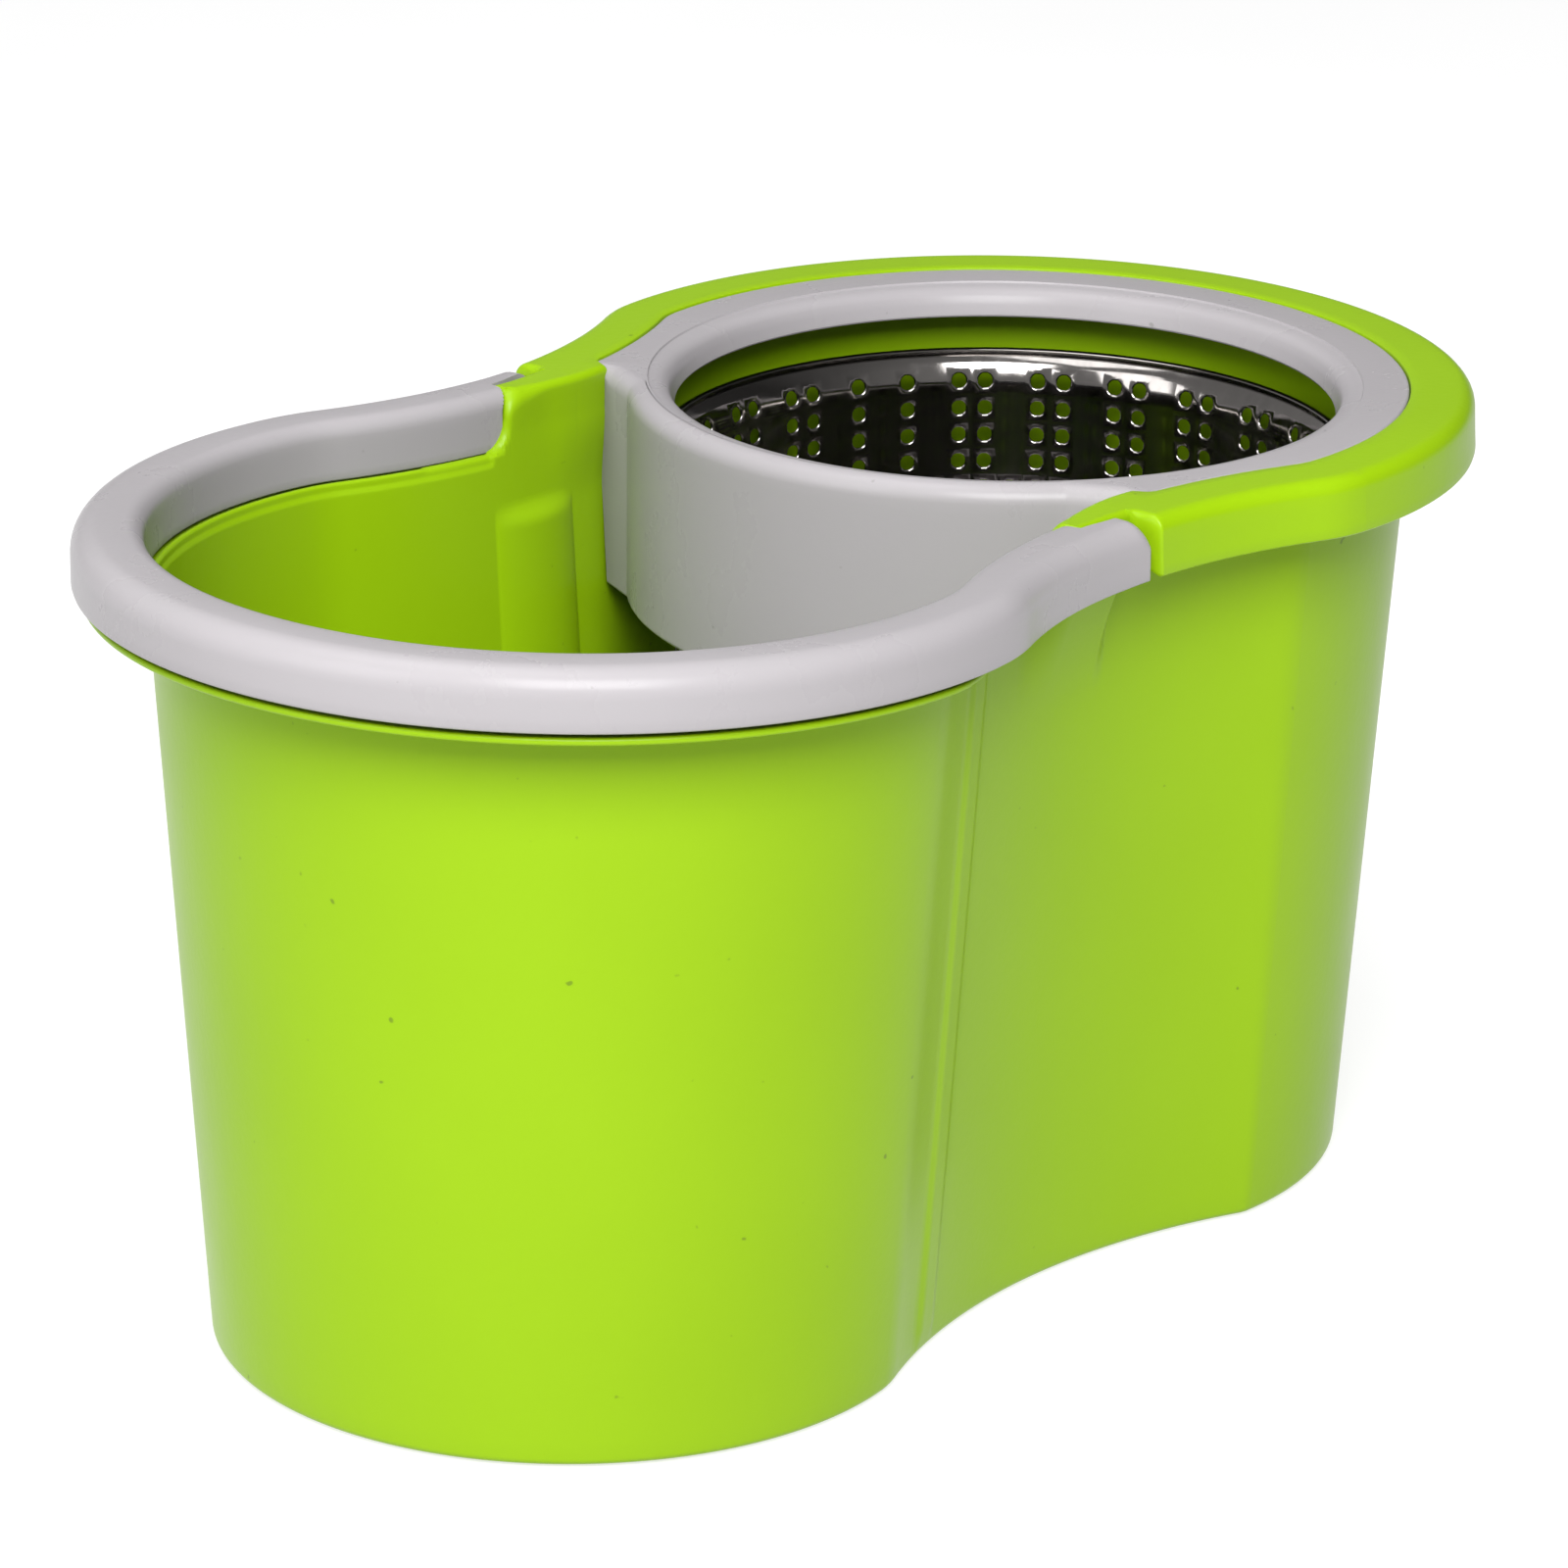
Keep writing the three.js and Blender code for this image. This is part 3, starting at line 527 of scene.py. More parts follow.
# ---------- carry handle ----------
def handle_loop():
    """Closed section of the handle, a channel that is open below, and which points line its inner leg."""
    outer = HANDLE_REACH
    inner = HANDLE_INNER
    wall = HANDLE_WALL
    foot = wall / 2
    crown = 7.5
    crown_high = 8
    inner_round = 5.0
    lining_round = 2.6
    leg_heights = (227, 224.5, 222, 219.5)
    outside = (
        arc(outer - crown, RIM_TOP - crown_high, crown, 0, 90, 12, radius_up=crown_high)
        + arc(inner + inner_round, RIM_TOP - inner_round, inner_round, 90, 180, 8)
        + [(inner, z) for z in leg_heights]
    )
    lining = (
        arc(inner + foot, HANDLE_LOW[2] + 0.1 + foot, foot, 180, 360, 6)
        + [(inner + wall, z) for z in reversed(leg_heights)]
        + arc(inner + wall + lining_round, RIM_TOP - wall - lining_round, lining_round, 180, 90, 4)
    )
    under_crown = arc(
        outer - crown, RIM_TOP - crown_high, crown - wall, 90, 0, 8, radius_up=crown_high - wall)
    skirt = (
        [(outer - wall, 220)] + arc(outer - foot, SKIRT_BOTTOM + foot, foot, 180, 360, 6)
        + [(outer, 221)]
    )
    lining_end = len(outside) + len(lining) + len(under_crown) // 2
    return outside + lining + under_crown + skirt, range(len(outside), lining_end)


def block_clearance(x, z):
    """Nearest that the handle may come to the middle, as a distance. Away from a block it is free."""
    beside = BLOCK_OUTER + BLOCK_GAP + 1.3 * smooth(x, -9, 4)
    if x > PIVOT_X:
        return beside
    away = math.hypot(x - PIVOT_X, z - PIVOT_Z)
    free = BLOCK_RADIUS + 1.2
    if away > free:
        return -beside
    return beside * (1 - smooth(away, BLOCK_RADIUS + 0.4, free))


def leg_bottom(x):
    """Lowest that the handle's inner leg may reach: it follows the notch in the wall's skin."""
    if x < NOTCH_X or x > NOTCH_X_END - 0.4:
        return 0
    return NOTCH_Z - math.sqrt((NOTCH_RADIUS + 0.3) ** 2 - (x - NOTCH_X) ** 2)


def carry_handle():
    """The handle's section swept round the wash basin, shaped to clear the blocks and the notch."""
    loop, lining = handle_loop()
    end_x = HANDLE_HIGH[0] - 0.2
    corner = 5.6                       # radius of the arm's upper corner
    end_edge = 1.5                     # radius of the arm's end in plan
    turn_x = end_x - corner
    chain = [station for station in STATIONS if plan_point(station, 0)[0] < end_x]
    points = []
    for station in chain:
        x = plan_point(station, 0)[0]
        half = abs(plan_point(station, 0)[1])
        beyond = max(0, x - turn_x) / corner
        limit = RIM_TOP - corner * (1 - math.sqrt(1 - beyond ** 2))
        squeeze = (limit - SKIRT_BOTTOM) / (RIM_TOP - SKIRT_BOTTOM)
        near_end = np.clip(1 - (end_x - x) / end_edge, 0, 1)
        furthest = HANDLE_REACH - end_edge * (1 - math.sqrt(1 - near_end ** 2))
        for at, (reach, z) in enumerate(loop):
            z = SKIRT_BOTTOM + (z - SKIRT_BOTTOM) * squeeze
            if reach < HANDLE_INNER + HANDLE_WALL + 0.1:
                z = max(z, leg_bottom(x))
            nearest = block_clearance(x, z) - half + (HANDLE_WALL if at in lining else 0)
            reach = max(reach, min(nearest, HANDLE_REACH - HANDLE_WALL - 0.3))
            points.append((*plan_point(station, min(reach, furthest)), z))
    count = len(loop)
    faces = grid_faces(len(chain), count, False, True)
    faces.append(tuple(range(count)))
    last = (len(chain) - 1) * count
    faces.append(tuple(last + at for at in reversed(range(count))))
    return risen(points, lambda z: 1.0), faces


# ---------- splash guard ----------
def guard_stations():
    """Stations round the guard: (outer point at height z, inward normal, is there a wall, edge radius)."""
    spin = np.array([SPIN_X, 0.0])
    front_angle = math.radians(46)
    front_radius = SPIN_X - GUARD_LOW[0]
    corner_x = GUARD_CORNER_X
    outline = [station for station in STATIONS if plan_point(station, GUARD_REACH)[0] > corner_x + 1.2]
    first = next(
        at for at, station in enumerate(outline)
        if plan_point(station, 0)[1] < 0 and plan_point(outline[at - 1], 0)[1] > 0
    )
    outline = outline[first:] + outline[:first]
    waist_radius = WAIST_RADIUS - GUARD_REACH
    corner_across = math.sqrt(waist_radius ** 2 - (corner_x - WAIST_CENTRE[0]) ** 2)
    corner = np.array([corner_x, WAIST_CENTRE[1] - corner_across])
    wing_start = spin + front_radius * np.array([-math.cos(front_angle), math.sin(front_angle)])
    wing = corner - wing_start
    wing_length = np.linalg.norm(wing)
    wing_inward = np.array([wing[1], -wing[0]]) / wing_length

    def fixed(point):
        return lambda z: point

    def on_wing(share, side):
        """The wing grows shorter downwards, to stay inside the leaning wall of the bucket."""
        def place(z):
            below = max(0.0, GUARD_HIGH[2] - GUARD_PLATE - z)
            shorter = (1.9 + LEAN * below) / 0.72 * smooth(below, 0, 1.2)
            point = wing_start + wing * share * (wing_length - shorter) / wing_length
            return point * np.array([1, side])
        return place

    def wing_fold(share):
        """The fold fades to the plate's edge radius towards the wing's corner."""
        return GUARD_EDGE + (GUARD_FOLD - GUARD_EDGE) * smooth(share, 1.0, 0.6)

    stations = []
    for station in outline:
        _, _, grow, turn = station
        point = np.array(plan_point(station, GUARD_REACH))
        normal = -grow * np.array([math.cos(turn), math.sin(turn)])
        stations.append((fixed(point), normal, 0, GUARD_EDGE))
    shares = np.concatenate([[1.0], np.linspace(0.985, 0.03, 18)])
    stations.append((on_wing(1.0, 1), wing_inward, 0, GUARD_EDGE))
    for share in shares:
        stations.append((on_wing(share, 1), wing_inward, 1, wing_fold(share)))
    for turn in np.linspace(math.pi - front_angle, math.pi + front_angle, 56):
        outward = np.array([math.cos(turn), math.sin(turn)])
        stations.append((fixed(spin + front_radius * outward), -outward, 1, GUARD_FOLD))
    mirror = np.array([1, -1])
    for share in reversed(shares):
        stations.append((on_wing(share, -1), wing_inward * mirror, 1, wing_fold(share)))
    stations.append((on_wing(1.0, -1), wing_inward * mirror, 0, GUARD_EDGE))
    return stations


def splash_guard():
    """Plate with a rolled lip round its opening, and a wall towards the basin."""
    top = GUARD_HIGH[2]
    under = top - GUARD_PLATE
    low = GUARD_LOW[2]
    back_fold = GUARD_FOLD - GUARD_WALL
    axis = np.array([SPIN_X, 0.0])
    lip = [(98.3, 224.7), (97.6, 224.3), (96.7, 224.5), (96.45, 225.0), (97.2, 228.0), (98.0, 230.2),
           (98.9, 231.5), (100.4, 232.4), (102.4, 232.9), (103.7, 233.0), (104.1, 233.1), (104.4, top),
           (105.2, top)]
    lip_under = [(102.6, under), (101.2, under - 0.9), (99.8, 229.0)]
    points = []
    stations = guard_stations()
    for place, inward, walled, fold in stations:
        edge = np.array(place(top))
        ray = (edge - axis) / np.linalg.norm(edge - axis)

        def on_ray(radius):
            return axis + ray * radius

        section = [(*on_ray(radius), z) for radius, z in lip]
        bend = arc(-fold, top - fold, fold, 90, 0, 9)
        if walled:
            sheet = [(0, z) for z in np.linspace(top - fold - 3, low + 1.2, 8)]
            foot = arc(-GUARD_WALL / 2, low + GUARD_WALL / 2, GUARD_WALL / 2, 0, -180, 7)
            back = [(-GUARD_WALL, z) for z in np.linspace(low + 8, under - back_fold - 0.1, 6)]
            turn = arc(-GUARD_WALL - back_fold, under - back_fold, back_fold, 0, 90, 5)
        else:
            sheet = [(0, z) for z in np.linspace(top - 0.9, top - 1.4, 8)]
            foot = arc(-0.6, under + 0.6, 0.6, 0, -90, 7)
            back = [(-0.9 - 0.2 * step, under) for step in range(6)]
            turn = [(-2.4 - 0.6 * step, under) for step in range(5)]
        for depth, z in bend + sheet + foot + back + turn:
            section.append((*(np.array(place(z)) - inward * depth), z))
        section += [(*on_ray(radius), z) for radius, z in lip_under]
        points.extend(section)
    count = len(points) // len(stations)
    return points, grid_faces(len(stations), count, True, True)


# ---------- perforated basket ----------
CELL_SIDE = 3                        # steps along each side of a cell of perforated sheet
SHEET = 0.75                         # thickness of the sheet
DRUM_CELLS = 76
DRUM_ROWS = 10
DRUM_HOLE = 2.25                     # radius of the holes in the basket's wall
ROW_PITCH = 8.4
TOP_ROW_Z = 204.0
SEAM_TURN = math.radians(59.6)       # the wrapped wall's weld, on the far side
DRUM_FOOT_RADIUS = 94.4              # inside the wall, at its foot
DRUM_TOP_RADIUS = 96.8               # inside the wall, at the top row of holes
BASE_RINGS = 5
BASE_CELLS = 60
BASE_HOLE = 1.9                      # radius of the holes in the basket's floor
BASE_INNER = 48.0
BASE_PITCH = 7.8
BASE_STEP = 0.6                      # the perforated ring is pressed this much higher than the middle


def cell_rim(steps):
    """Points round a unit cell, from (-1, -1), anticlockwise."""
    side = np.linspace(-1, 1, steps + 1)[:-1]
    return (
        [(along, -1) for along in side] + [(1, along) for along in side]
        + [(-along, 1) for along in side] + [(-1, -along) for along in side]
    )


def perforated(surface, cell_size, columns, rows, has_hole, hole_radius):
    """Sheet of cells with round punched holes, whose edges are rounded on the inside.

    surface(column, row, u, v, depth) gives a point, with u and v in cells from the cell's middle, and
    cell_size(row) gives a cell's width and height in millimetres.
    """
    rim = cell_rim(CELL_SIDE)
    outline = [(u / 2, v / 2) for u, v in rim]
    points = []
    index = {}
    faces = []

    def corner(point):
        key = tuple(round(value, 3) for value in point)
        if key not in index:
            index[key] = len(points)
            points.append(point)
        return index[key]

    def ring_at(column, row, places, depth):
        return [corner(surface(column, row, u, v, depth)) for u, v in places]

    def strip(ring_a, ring_b):
        for at in range(len(ring_a)):
            after = (at + 1) % len(ring_a)
            faces.append((ring_a[at], ring_a[after], ring_b[after], ring_b[at]))

    for row in range(rows):
        width, height = cell_size(row)
        turns = [math.atan2(v * height, u * width) for u, v in rim]

        def circle(radius):
            return [(radius * math.cos(t) / width, radius * math.sin(t) / height) for t in turns]

        def plain_cell(column):
            lines = np.linspace(-0.5, 0.5, CELL_SIDE + 1)
            for depth, flip in ((0.0, False), (SHEET, True)):
                for a, b in zip(lines, lines[1:]):
                    for c, d in zip(lines, lines[1:]):
                        square = ring_at(column, row, [(a, c), (b, c), (b, d), (a, d)], depth)
                        faces.append(tuple(reversed(square)) if flip else tuple(square))

        def holed_cell(column):
            rings = [
                (outline, 0.0), (circle(hole_radius + 0.5), 0.0), (circle(hole_radius + 0.15), 0.18),
                (circle(hole_radius), 0.45), (circle(hole_radius), SHEET), (outline, SHEET),
            ]
            corners = [ring_at(column, row, places, depth) for places, depth in rings]
            for ring_a, ring_b in zip(corners, corners[1:]):
                strip(ring_a, ring_b)

        for column in range(columns):
            if has_hole(column, row):
                holed_cell(column)
            else:
                plain_cell(column)
    return points, faces


def drum_radius(z):
    """Inside radius of the basket's wall, which flares below the rim."""
    flare = 0.038 * max(0.0, z - 201.5) ** 2
    share = (z - DRUM_LOW[2]) / (TOP_ROW_Z - DRUM_LOW[2])
    return DRUM_FOOT_RADIUS + (DRUM_TOP_RADIUS - DRUM_FOOT_RADIUS) * share + flare


def drum_surface(column, row, u, v, depth):
    z = TOP_ROW_Z - ROW_PITCH * row + ROW_PITCH * v
    turn = SEAM_TURN - (column + u) * 2 * math.pi / DRUM_CELLS
    radius = drum_radius(z) + depth
    return (SPIN_X + radius * math.cos(turn), radius * math.sin(turn), z)


def drum_cell_size(row):
    return 2 * math.pi * drum_radius(TOP_ROW_Z - ROW_PITCH * row) / DRUM_CELLS, ROW_PITCH


def drum_has_hole(column, row):
    """Holes in pairs, with one wide pair astride the weld, and full rows lower down."""
    if column in (1, DRUM_CELLS - 1):
        return True
    if column in (0, DRUM_CELLS - 2):
        return False
    first_full_row = 4
    return row >= first_full_row or (column - 2) % 3 != 0


def basket_drum():
    """Perforated wall with a rolled rim, and its foot round the basket's floor."""
    wall = perforated(drum_surface, drum_cell_size, DRUM_CELLS, DRUM_ROWS, drum_has_hole, DRUM_HOLE)
    high = TOP_ROW_Z + ROW_PITCH / 2
    low = TOP_ROW_Z - ROW_PITCH * (DRUM_ROWS - 0.5)
    top = DRUM_HIGH[2]
    out = DRUM_HIGH[0] - SPIN_X
    inside = drum_radius(high)
    outside = inside + SHEET
    roll = 1.3                         # radius of the rolled rim
    rim = (
        [(inside, high), (inside + 0.45, high + 0.8), (inside + 1.2, high + 1.8),
         (inside + 2.1, high + 2.8)]
        + arc(out - roll, top - roll, roll, 150, -110, 16)
        + [(outside + 2.4, high + 1.9), (outside + 1.0, high + 0.6), (outside, high)]
    )
    low_inside = drum_radius(low)
    foot = [(low_inside, low), (low_inside - 0.1, DRUM_LOW[2] + 6)]
    foot += arc(low_inside - 0.9, DRUM_LOW[2] + 1.6, 0.9 + SHEET / 2, 180, 360, 5)
    foot += [(low_inside + SHEET, low)]
    steps = DRUM_CELLS * CELL_SIDE
    return joined(wall, turned(rim, steps), turned(foot, steps))


def base_surface(column, row, u, v, depth):
    radius = BASE_INNER + BASE_PITCH * (row + 0.5 + v)
    turn = (column + u) * 2 * math.pi / BASE_CELLS
    return (SPIN_X + radius * math.cos(turn), radius * math.sin(turn), BASE_HIGH[2] - depth)


def base_cell_size(row):
    return 2 * math.pi * (BASE_INNER + BASE_PITCH * (row + 0.5)) / BASE_CELLS, BASE_PITCH


def basket_base():
    """Pressed disc: a plain middle under the hub, a perforated ring and a hem turned down."""
    sheet = perforated(
        base_surface, base_cell_size, BASE_CELLS, BASE_RINGS, lambda column, row: True, BASE_HOLE)
    high = BASE_HIGH[2]
    outer_edge = BASE_INNER + BASE_PITCH * BASE_RINGS
    steps = BASE_CELLS * CELL_SIDE
    pressed = high - BASE_STEP
    bore = 14
    slope = BASE_INNER - 2.0
    middle = [(bore, pressed - SHEET), (slope, pressed - SHEET), (BASE_INNER, high - SHEET),
              (BASE_INNER, high), (slope, pressed), (bore, pressed)]
    hem_out = BASE_HIGH[0] - SPIN_X
    hem = [(outer_edge, high), (outer_edge, high - SHEET)]
    hem += arc(outer_edge + 4.8, high - 1.5, 1.5, 90, 0, 5)
    hem += [(hem_out, BASE_LOW[2] + 0.2), (hem_out - SHEET, BASE_LOW[2])]
    hem += arc(outer_edge + 4.4, high - 2.0, 1.4, 0, 90, 4) + [(outer_edge, high - SHEET)]
    return joined(sheet, turned(middle, steps), turned(hem, steps))


# ---------- basket hub ----------
HUB_BORE = 10.0                      # radius
HUB_SIDES = 6
HUB_SEGMENTS = 96
PLATE_TOP = HUB_LOW[2] + 3.5
TOWER_FOOT = HUB_LOW[2] + 3.0        # the tower and the ribs start a little inside the plate


def basket_hub():
    """Round plate with a six-sided tower that drives the mop's head, and a rib on each corner."""
    low = HUB_LOW[2]
    plate = [(HUB_BORE, low), (43.6, low), (44, low + 0.5), (43.8, low + 1.4)]
    plate += arc(40.5, low + 1.4, 2.1, 20, 90, 5)
    plate += [(30, PLATE_TOP), (18.5, PLATE_TOP), (HUB_BORE, PLATE_TOP)]
    sector = 2 * math.pi / HUB_SIDES
    ribs = [hub_rib((side + 0.5) * sector) for side in range(HUB_SIDES)]
    return joined(turned(plate, HUB_SEGMENTS), hub_tower(), *ribs)


def hub_tower():
    """Hollow tower with a closed top, whose outside is six-sided with soft corners."""
    high = HUB_HIGH[2]
    ceiling = high - 3
    axis = 0.01                        # nearly 0, so that the faces at the axis keep their four corners
    edge = 2.2
    hollow = [(HUB_BORE, TOWER_FOOT), (HUB_BORE, ceiling), (axis, ceiling), (axis, high)]
    outside = arc(11.0, high - edge, edge, 90, 10, 5)
    outside += [(16.0, PLATE_TOP + 2), (17.6, PLATE_TOP), (17.6, TOWER_FOOT)]
    half_sector = math.pi / HUB_SIDES
    rounding = 0.35
    mean_radius = 0.955
    points = []
    for turn in np.linspace(0, 2 * math.pi, HUB_SEGMENTS, endpoint=False):
        from_side = (turn + half_sector) % (2 * half_sector) - half_sector
        six_sided = math.cos(half_sector) / math.cos(from_side)
        scale = six_sided * (1 - rounding) + rounding * mean_radius
        for radius, z in hollow + [(radius * scale, z) for radius, z in outside]:
            points.append((SPIN_X + radius * math.cos(turn), radius * math.sin(turn), z))
    return points, grid_faces(HUB_SEGMENTS, len(hollow) + len(outside), True, True)


def hub_rib(turn):
    """Thin sloping rib between the hub's tower and its plate."""
    half = 0.9
    inner = 15.0
    outer = 39.0
    low = TOWER_FOOT
    corners = [(inner, low), (outer, low), (outer, low + 1.2), (inner, low + 8)]
    points = []
    for side in (-half, half):
        for radius, z in corners:
            points.append((
                SPIN_X + radius * math.cos(turn) - side * math.sin(turn),
                radius * math.sin(turn) + side * math.cos(turn), z))
    ends = [(3, 2, 1, 0), (4, 5, 6, 7)]
    return points, ends + [(at, (at + 1) % 4, (at + 1) % 4 + 4, at + 4) for at in range(4)]


# ---------- materials ----------
def new_material(name):
    material = bpy.data.materials.new(name)
    material.use_nodes = True
    nodes = material.node_tree.nodes
    shader = nodes["Principled BSDF"]
    return material, nodes, material.node_tree.links, shader


def coordinates(nodes, links, scale):
    where = nodes.new("ShaderNodeTexCoord")
    mapping = nodes.new("ShaderNodeMapping")
    mapping.inputs["Scale"].default_value = scale
    links.new(where.outputs["Object"], mapping.inputs["Vector"])
    return mapping.outputs["Vector"]


def noise(nodes, links, scale, detail, stretch=(1, 1, 1), roughness=0.5):
    """Noise in the object's own metres: scale is how many lumps there are in one metre."""
    texture = nodes.new("ShaderNodeTexNoise")
    texture.inputs["Scale"].default_value = scale
    texture.inputs["Detail"].default_value = detail
    texture.inputs["Roughness"].default_value = roughness
    links.new(coordinates(nodes, links, stretch), texture.inputs["Vector"])
    return texture.outputs["Fac"]


def ramp(nodes, links, value, stops):
    """Colour ramp over (position, colour) stops."""
    node = nodes.new("ShaderNodeValToRGB")
    elements = node.color_ramp.elements
    while len(elements) < len(stops):
        elements.new(0.5)
    for element, (position, colour) in zip(elements, stops):
        element.position = position
        element.color = colour
    links.new(value, node.inputs["Fac"])
    return node.outputs["Color"]


def grey(level):
    return (level, level, level, 1)


def mix_colour(nodes, links, share, first, second, blend="MIX"):
    node = nodes.new("ShaderNodeMix")
    node.data_type = "RGBA"
    node.blend_type = blend
    # Among the node's many sockets, these are the factor, the two colours and the resulting colour.
    for value, socket in ((share, node.inputs[0]), (first, node.inputs[6]), (second, node.inputs[7])):
        if hasattr(value, "links"):
            links.new(value, socket)
        else:
            socket.default_value = value
    return node.outputs[2]


def add_bump(nodes, links, shader, height, distance):
    """Bumps as deep as distance, in metres."""
    bump = nodes.new("ShaderNodeBump")
    bump.inputs["Distance"].default_value = distance
    links.new(height, bump.inputs["Height"])
    links.new(bump.outputs["Normal"], shader.inputs["Normal"])


def moulded_plastic(name, colour, deep, roughness, speck_colour):
    """Glossy moulded plastic: slow colour drift, a few fine specks, faint orange peel."""
    material, nodes, links, shader = new_material(name)
    drift = ramp(nodes, links, noise(nodes, links, 9.0, 10.0), [(0.3, (*deep, 1)), (0.7, (*colour, 1))])
    is_speck = ramp(nodes, links, noise(nodes, links, 260.0, 1.0),
                    [(0.0, grey(0)), (0.79, grey(0)), (0.84, grey(1))])
    specked = mix_colour(nodes, links, is_speck, drift, (*speck_colour, 1))
    speck_strength = 0.6
    links.new(mix_colour(nodes, links, speck_strength, drift, specked), shader.inputs["Base Color"])
    rough = ramp(nodes, links, noise(nodes, links, 14.0, 10.0, (1, 1, 0.7), 0.6),
                 [(0.3, grey(roughness - 0.03)), (0.75, grey(roughness + 0.05))])
    links.new(rough, shader.inputs["Roughness"])
    shader.inputs["IOR"].default_value = 1.49
    shader.inputs["Specular IOR Level"].default_value = 0.16
    add_bump(nodes, links, shader, noise(nodes, links, 420.0, 2.0), 0.00004)
    return material


def polished_steel(name, tint, roughness, streaks):
    """Metal with fine drawn lines along the axis where streaks is small, and a slight waviness."""
    material, nodes, links, shader = new_material(name)
    shader.inputs["Metallic"].default_value = 1.0
    lines = noise(nodes, links, 240.0, 4.0, streaks)
    darker = [value * 0.86 for value in tint]
    links.new(ramp(nodes, links, lines, [(0.3, (*tint, 1)), (0.7, (*darker, 1))]),
              shader.inputs["Base Color"])
    links.new(ramp(nodes, links, lines, [(0.3, grey(roughness)), (0.75, grey(roughness + 0.1))]),
              shader.inputs["Roughness"])
    add_bump(nodes, links, shader, noise(nodes, links, 26.0, 2.0, (1, 1, 0.4)), 0.0004)
    return material


def black_rubber(name):
    material, nodes, links, shader = new_material(name)
    links.new(ramp(nodes, links, noise(nodes, links, 90.0, 5.0), [(0.3, grey(0.012)), (0.8, grey(0.05))]),
              shader.inputs["Base Color"])
    links.new(ramp(nodes, links, noise(nodes, links, 200.0, 3.0), [(0.3, grey(0.7)), (0.7, grey(0.95))]),
              shader.inputs["Roughness"])
    add_bump(nodes, links, shader, noise(nodes, links, 600.0, 3.0), 0.0001)
    return material


def dress(node, material):
    """Gives a carried-over CAD node its material."""
    mesh = frame["nodes"][node].data
    mesh.materials.clear()
    mesh.materials.append(material)


# ---------- studio ----------
def add_camera():
    """The photograph's long lens, with its slight roll."""
    azimuth = math.radians(-51.10)
    elevation = math.radians(19.48)
    roll = math.radians(0.564)
    distance = 2.021
    target = Vector((-0.0055, 0.0, 0.1345))
    back = Vector((
        math.sin(azimuth) * math.cos(elevation),
        -math.cos(azimuth) * math.cos(elevation),
        math.sin(elevation)))
    right = Vector((math.cos(azimuth), math.sin(azimuth), 0))
    up = back.cross(right)
    across = right * math.cos(roll) + up * math.sin(roll)
    above = up * math.cos(roll) - right * math.sin(roll)
    data = bpy.data.cameras.new("camera")
    data.sensor_width = 36
    data.lens = 162.28
    camera = bpy.data.objects.new("camera", data)
    bpy.context.scene.collection.objects.link(camera)
    turn = Matrix((across, above, back)).transposed().to_4x4()
    camera.matrix_world = Matrix.Translation(target + back * distance) @ turn
    bpy.context.scene.camera = camera


def add_light(name, place, size, power):
    """Soft rectangular light that is aimed at the bucket's middle."""
    bucket_middle = Vector((0, 0, 0.12))
    data = bpy.data.lights.new(name, "AREA")
    data.shape = "RECTANGLE"
    data.size, data.size_y = size
    data.energy = power
    light = bpy.data.objects.new(name, data)
    light.location = place
    aim = bucket_middle - Vector(place)
    light.rotation_euler = aim.to_track_quat("-Z", "Y").to_euler()
    bpy.context.scene.collection.objects.link(light)


def add_sky():
    """Plain studio surroundings: pale near the floor, dimmer overhead and on the right."""
    world = bpy.data.worlds.new("studio")
    world.use_nodes = True
    nodes = world.node_tree.nodes
    links = world.node_tree.links
    direction = nodes.new("ShaderNodeTexCoord").outputs["Generated"]
    height = nodes.new("ShaderNodeSeparateXYZ")
    links.new(direction, height.inputs[0])
    up = ramp(nodes, links, height.outputs["Z"], [(0.0, grey(0.5)), (0.3, grey(0.5)), (0.8, grey(0.45))])
    toward = nodes.new("ShaderNodeVectorMath")
    toward.operation = "DOT_PRODUCT"
    toward.inputs[1].default_value = (0.93, -0.37, 0.0)
    links.new(direction, toward.inputs[0])
    side = ramp(nodes, links, toward.outputs["Value"], [(0.0, grey(1.0)), (0.8, grey(0.15))])
    links.new(mix_colour(nodes, links, 1.0, up, side, "MULTIPLY"), nodes["Background"].inputs["Color"])
    nodes["Background"].inputs["Strength"].default_value = 0.8
    bpy.context.scene.world = world


def add_floor():
    """Pale paper that glows a little, so that it looks as white as in a lit studio."""
    material, nodes, links, shader = new_material("floor_paper")
    links.new(ramp(nodes, links, noise(nodes, links, 3.0, 3.0), [(0.3, grey(0.29)), (0.7, grey(0.31))]),
              shader.inputs["Base Color"])
    shader.inputs["Roughness"].default_value = 0.9
    shader.inputs["Emission Color"].default_value = grey(1.0)
    shader.inputs["Emission Strength"].default_value = 0.72
    mesh = bpy.data.meshes.new("floor")
    span = 12.0
    corners = [(-span, -span, 0), (span, -span, 0), (span, span, 0), (-span, span, 0)]
    mesh.from_pydata(corners, [], [(0, 1, 2, 3)])
    mesh.materials.append(material)
    floor = bpy.data.objects.new("floor", mesh)
    floor.location.z = -0.0005
    bpy.context.scene.collection.objects.link(floor)


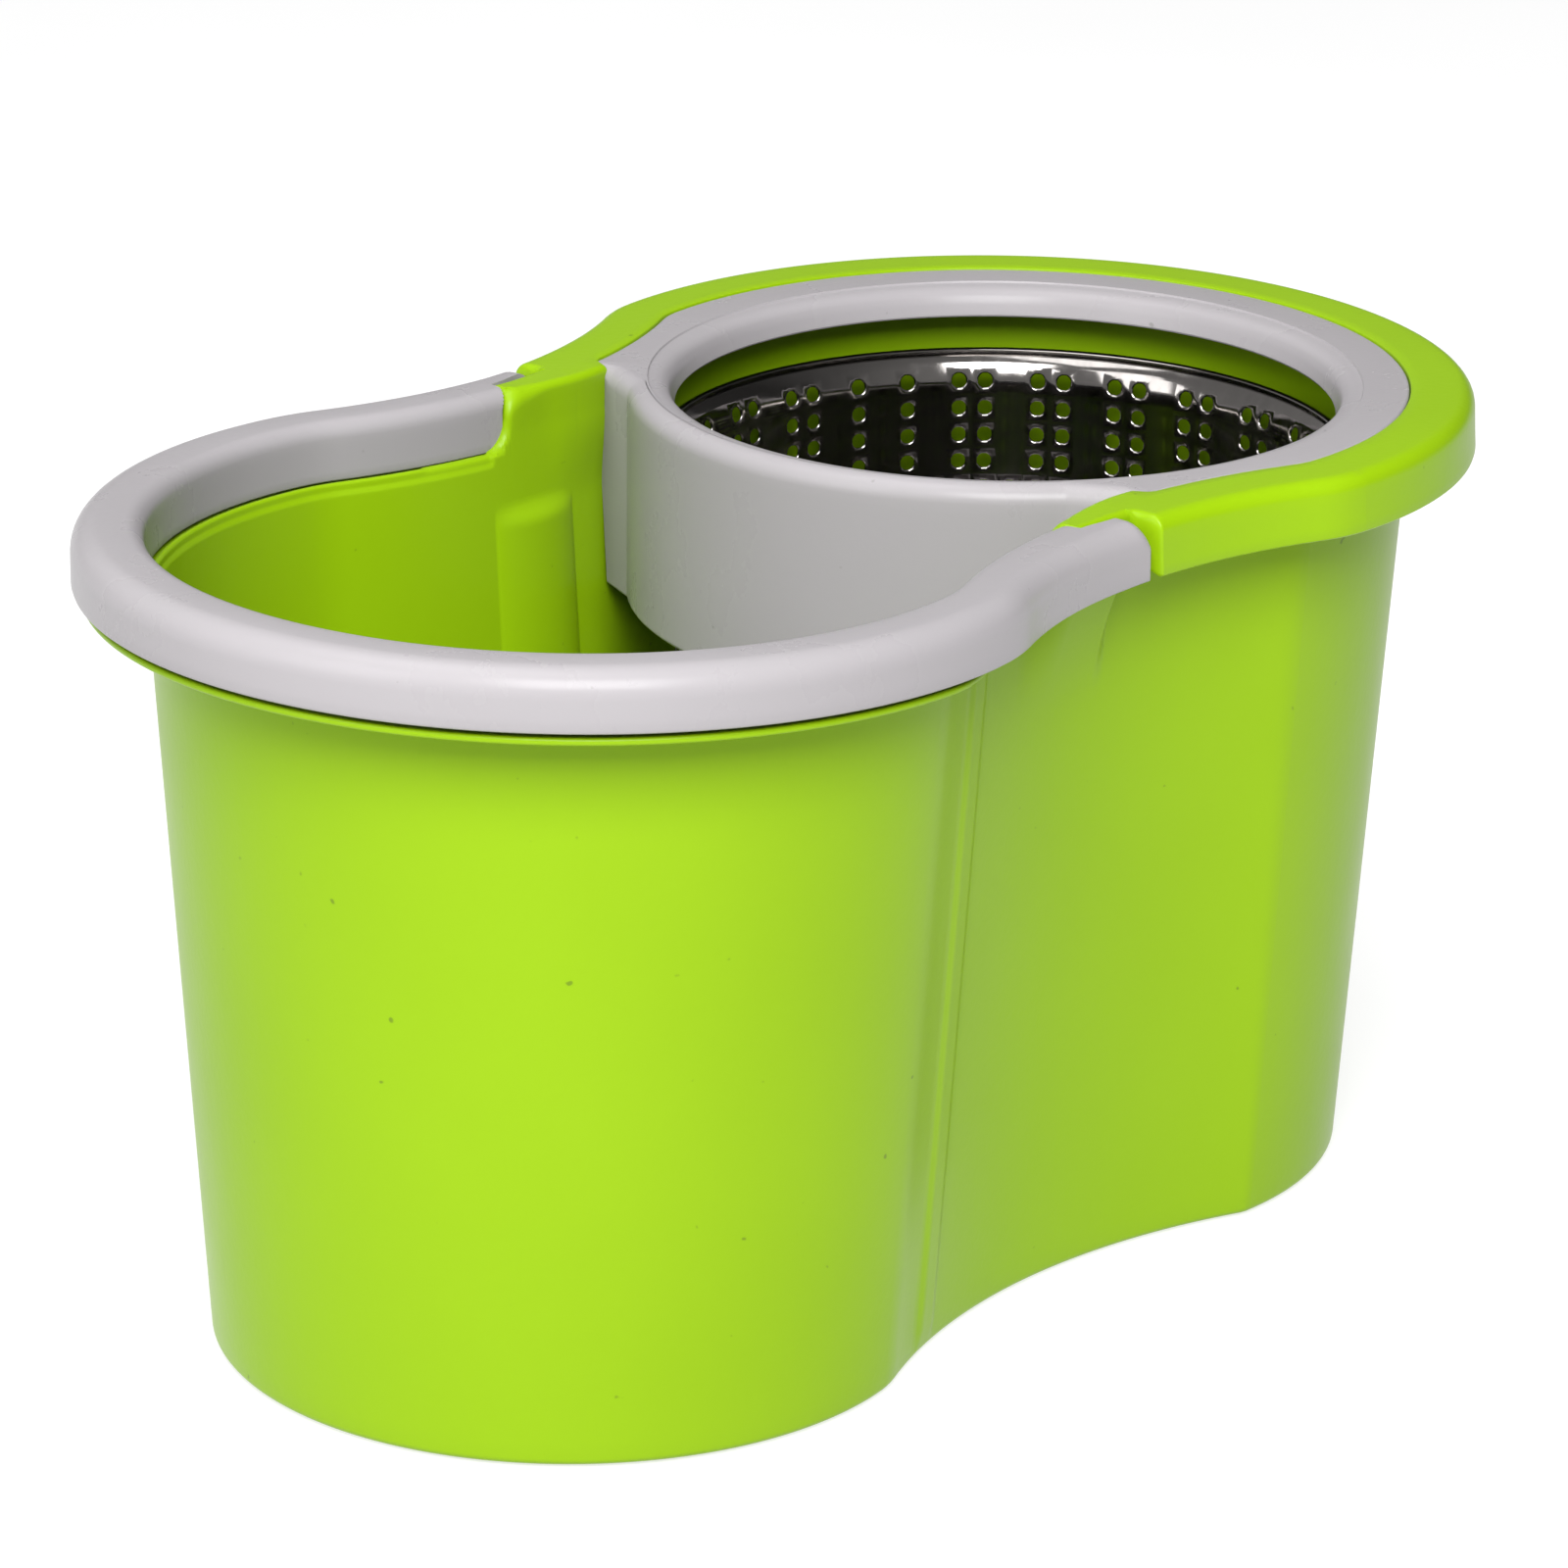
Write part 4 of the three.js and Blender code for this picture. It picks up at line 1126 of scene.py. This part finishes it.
def add_studio():
    add_sky()
    add_light("key", (-1.45, -1.35, 1.9), (1.4, 1.4), 112)
    add_light("fill", (-2.3, 0.5, 1.5), (1.2, 1.6), 24)
    add_light("top", (-0.5, 0.3, 2.4), (1.6, 1.4), 26)
    add_floor()
    bpy.context.scene.view_settings.view_transform = "Standard"


# ---------- the object ----------
def add_object():
    green = moulded_plastic(
        "green_plastic", (0.212, 0.368, 0.003), (0.200, 0.348, 0.002), 0.32, (0.06, 0.10, 0.01))
    grey_shell = moulded_plastic(
        "grey_plastic", (0.290, 0.276, 0.286), (0.278, 0.264, 0.274), 0.28, (0.16, 0.15, 0.15))
    white = moulded_plastic(
        "white_plastic", (0.74, 0.74, 0.72), (0.71, 0.71, 0.70), 0.42, (0.4, 0.4, 0.38))
    # The basket's sheet gets a dark, warm tint as painted shade. It stands in for the dark, brownish
    # reflections inside the basket, not for the steel's own colour.
    sheet = polished_steel("sheet_with_painted_shade", (0.27, 0.255, 0.245), 0.07, (1, 1, 0.05))
    machined = polished_steel("machined_steel", (0.55, 0.55, 0.56), 0.25, (0.1, 0.1, 1))
    bronze = polished_steel("sintered_bronze", (0.50, 0.33, 0.14), 0.38, (1, 1, 1))
    rubber = black_rubber("foot_rubber")

    add_piece("bucket_moulding", *bucket_body(), "bucket", green, "body", "bucket_body")
    add_piece("handle_moulding", *carry_handle(), "handle", grey_shell, "handle", "carry_handle")
    add_piece("guard_moulding", *splash_guard(), "guard", grey_shell, "guard", "splash_guard")
    add_piece("basket_drum", *basket_drum(), "basket", sheet, "basket", "basket_wall", 40)
    add_piece("basket_base", *basket_base(), "basket", sheet, "basket", "basket_floor", 40)
    add_piece("hub_tower", *basket_hub(), "basket", grey_shell, "hub", "basket_hub")

    for node in ("handle_pin_near", "handle_pin_far", "hub_carrier", "thrust_washer", "spindle_post"):
        dress(node, white)
    for node in ("hub_bush_lower", "hub_bush_upper"):
        dress(node, bronze)
    dress("spindle_shaft", machined)
    dress("retaining_clip", machined)
    for number in range(1, 4):
        dress(f"hub_screw_{number}", machined)
    for number in range(1, 5):
        dress(f"post_screw_{number}", machined)
        dress(f"rubber_foot_{number}", rubber)


add_camera()
add_studio()
add_object()
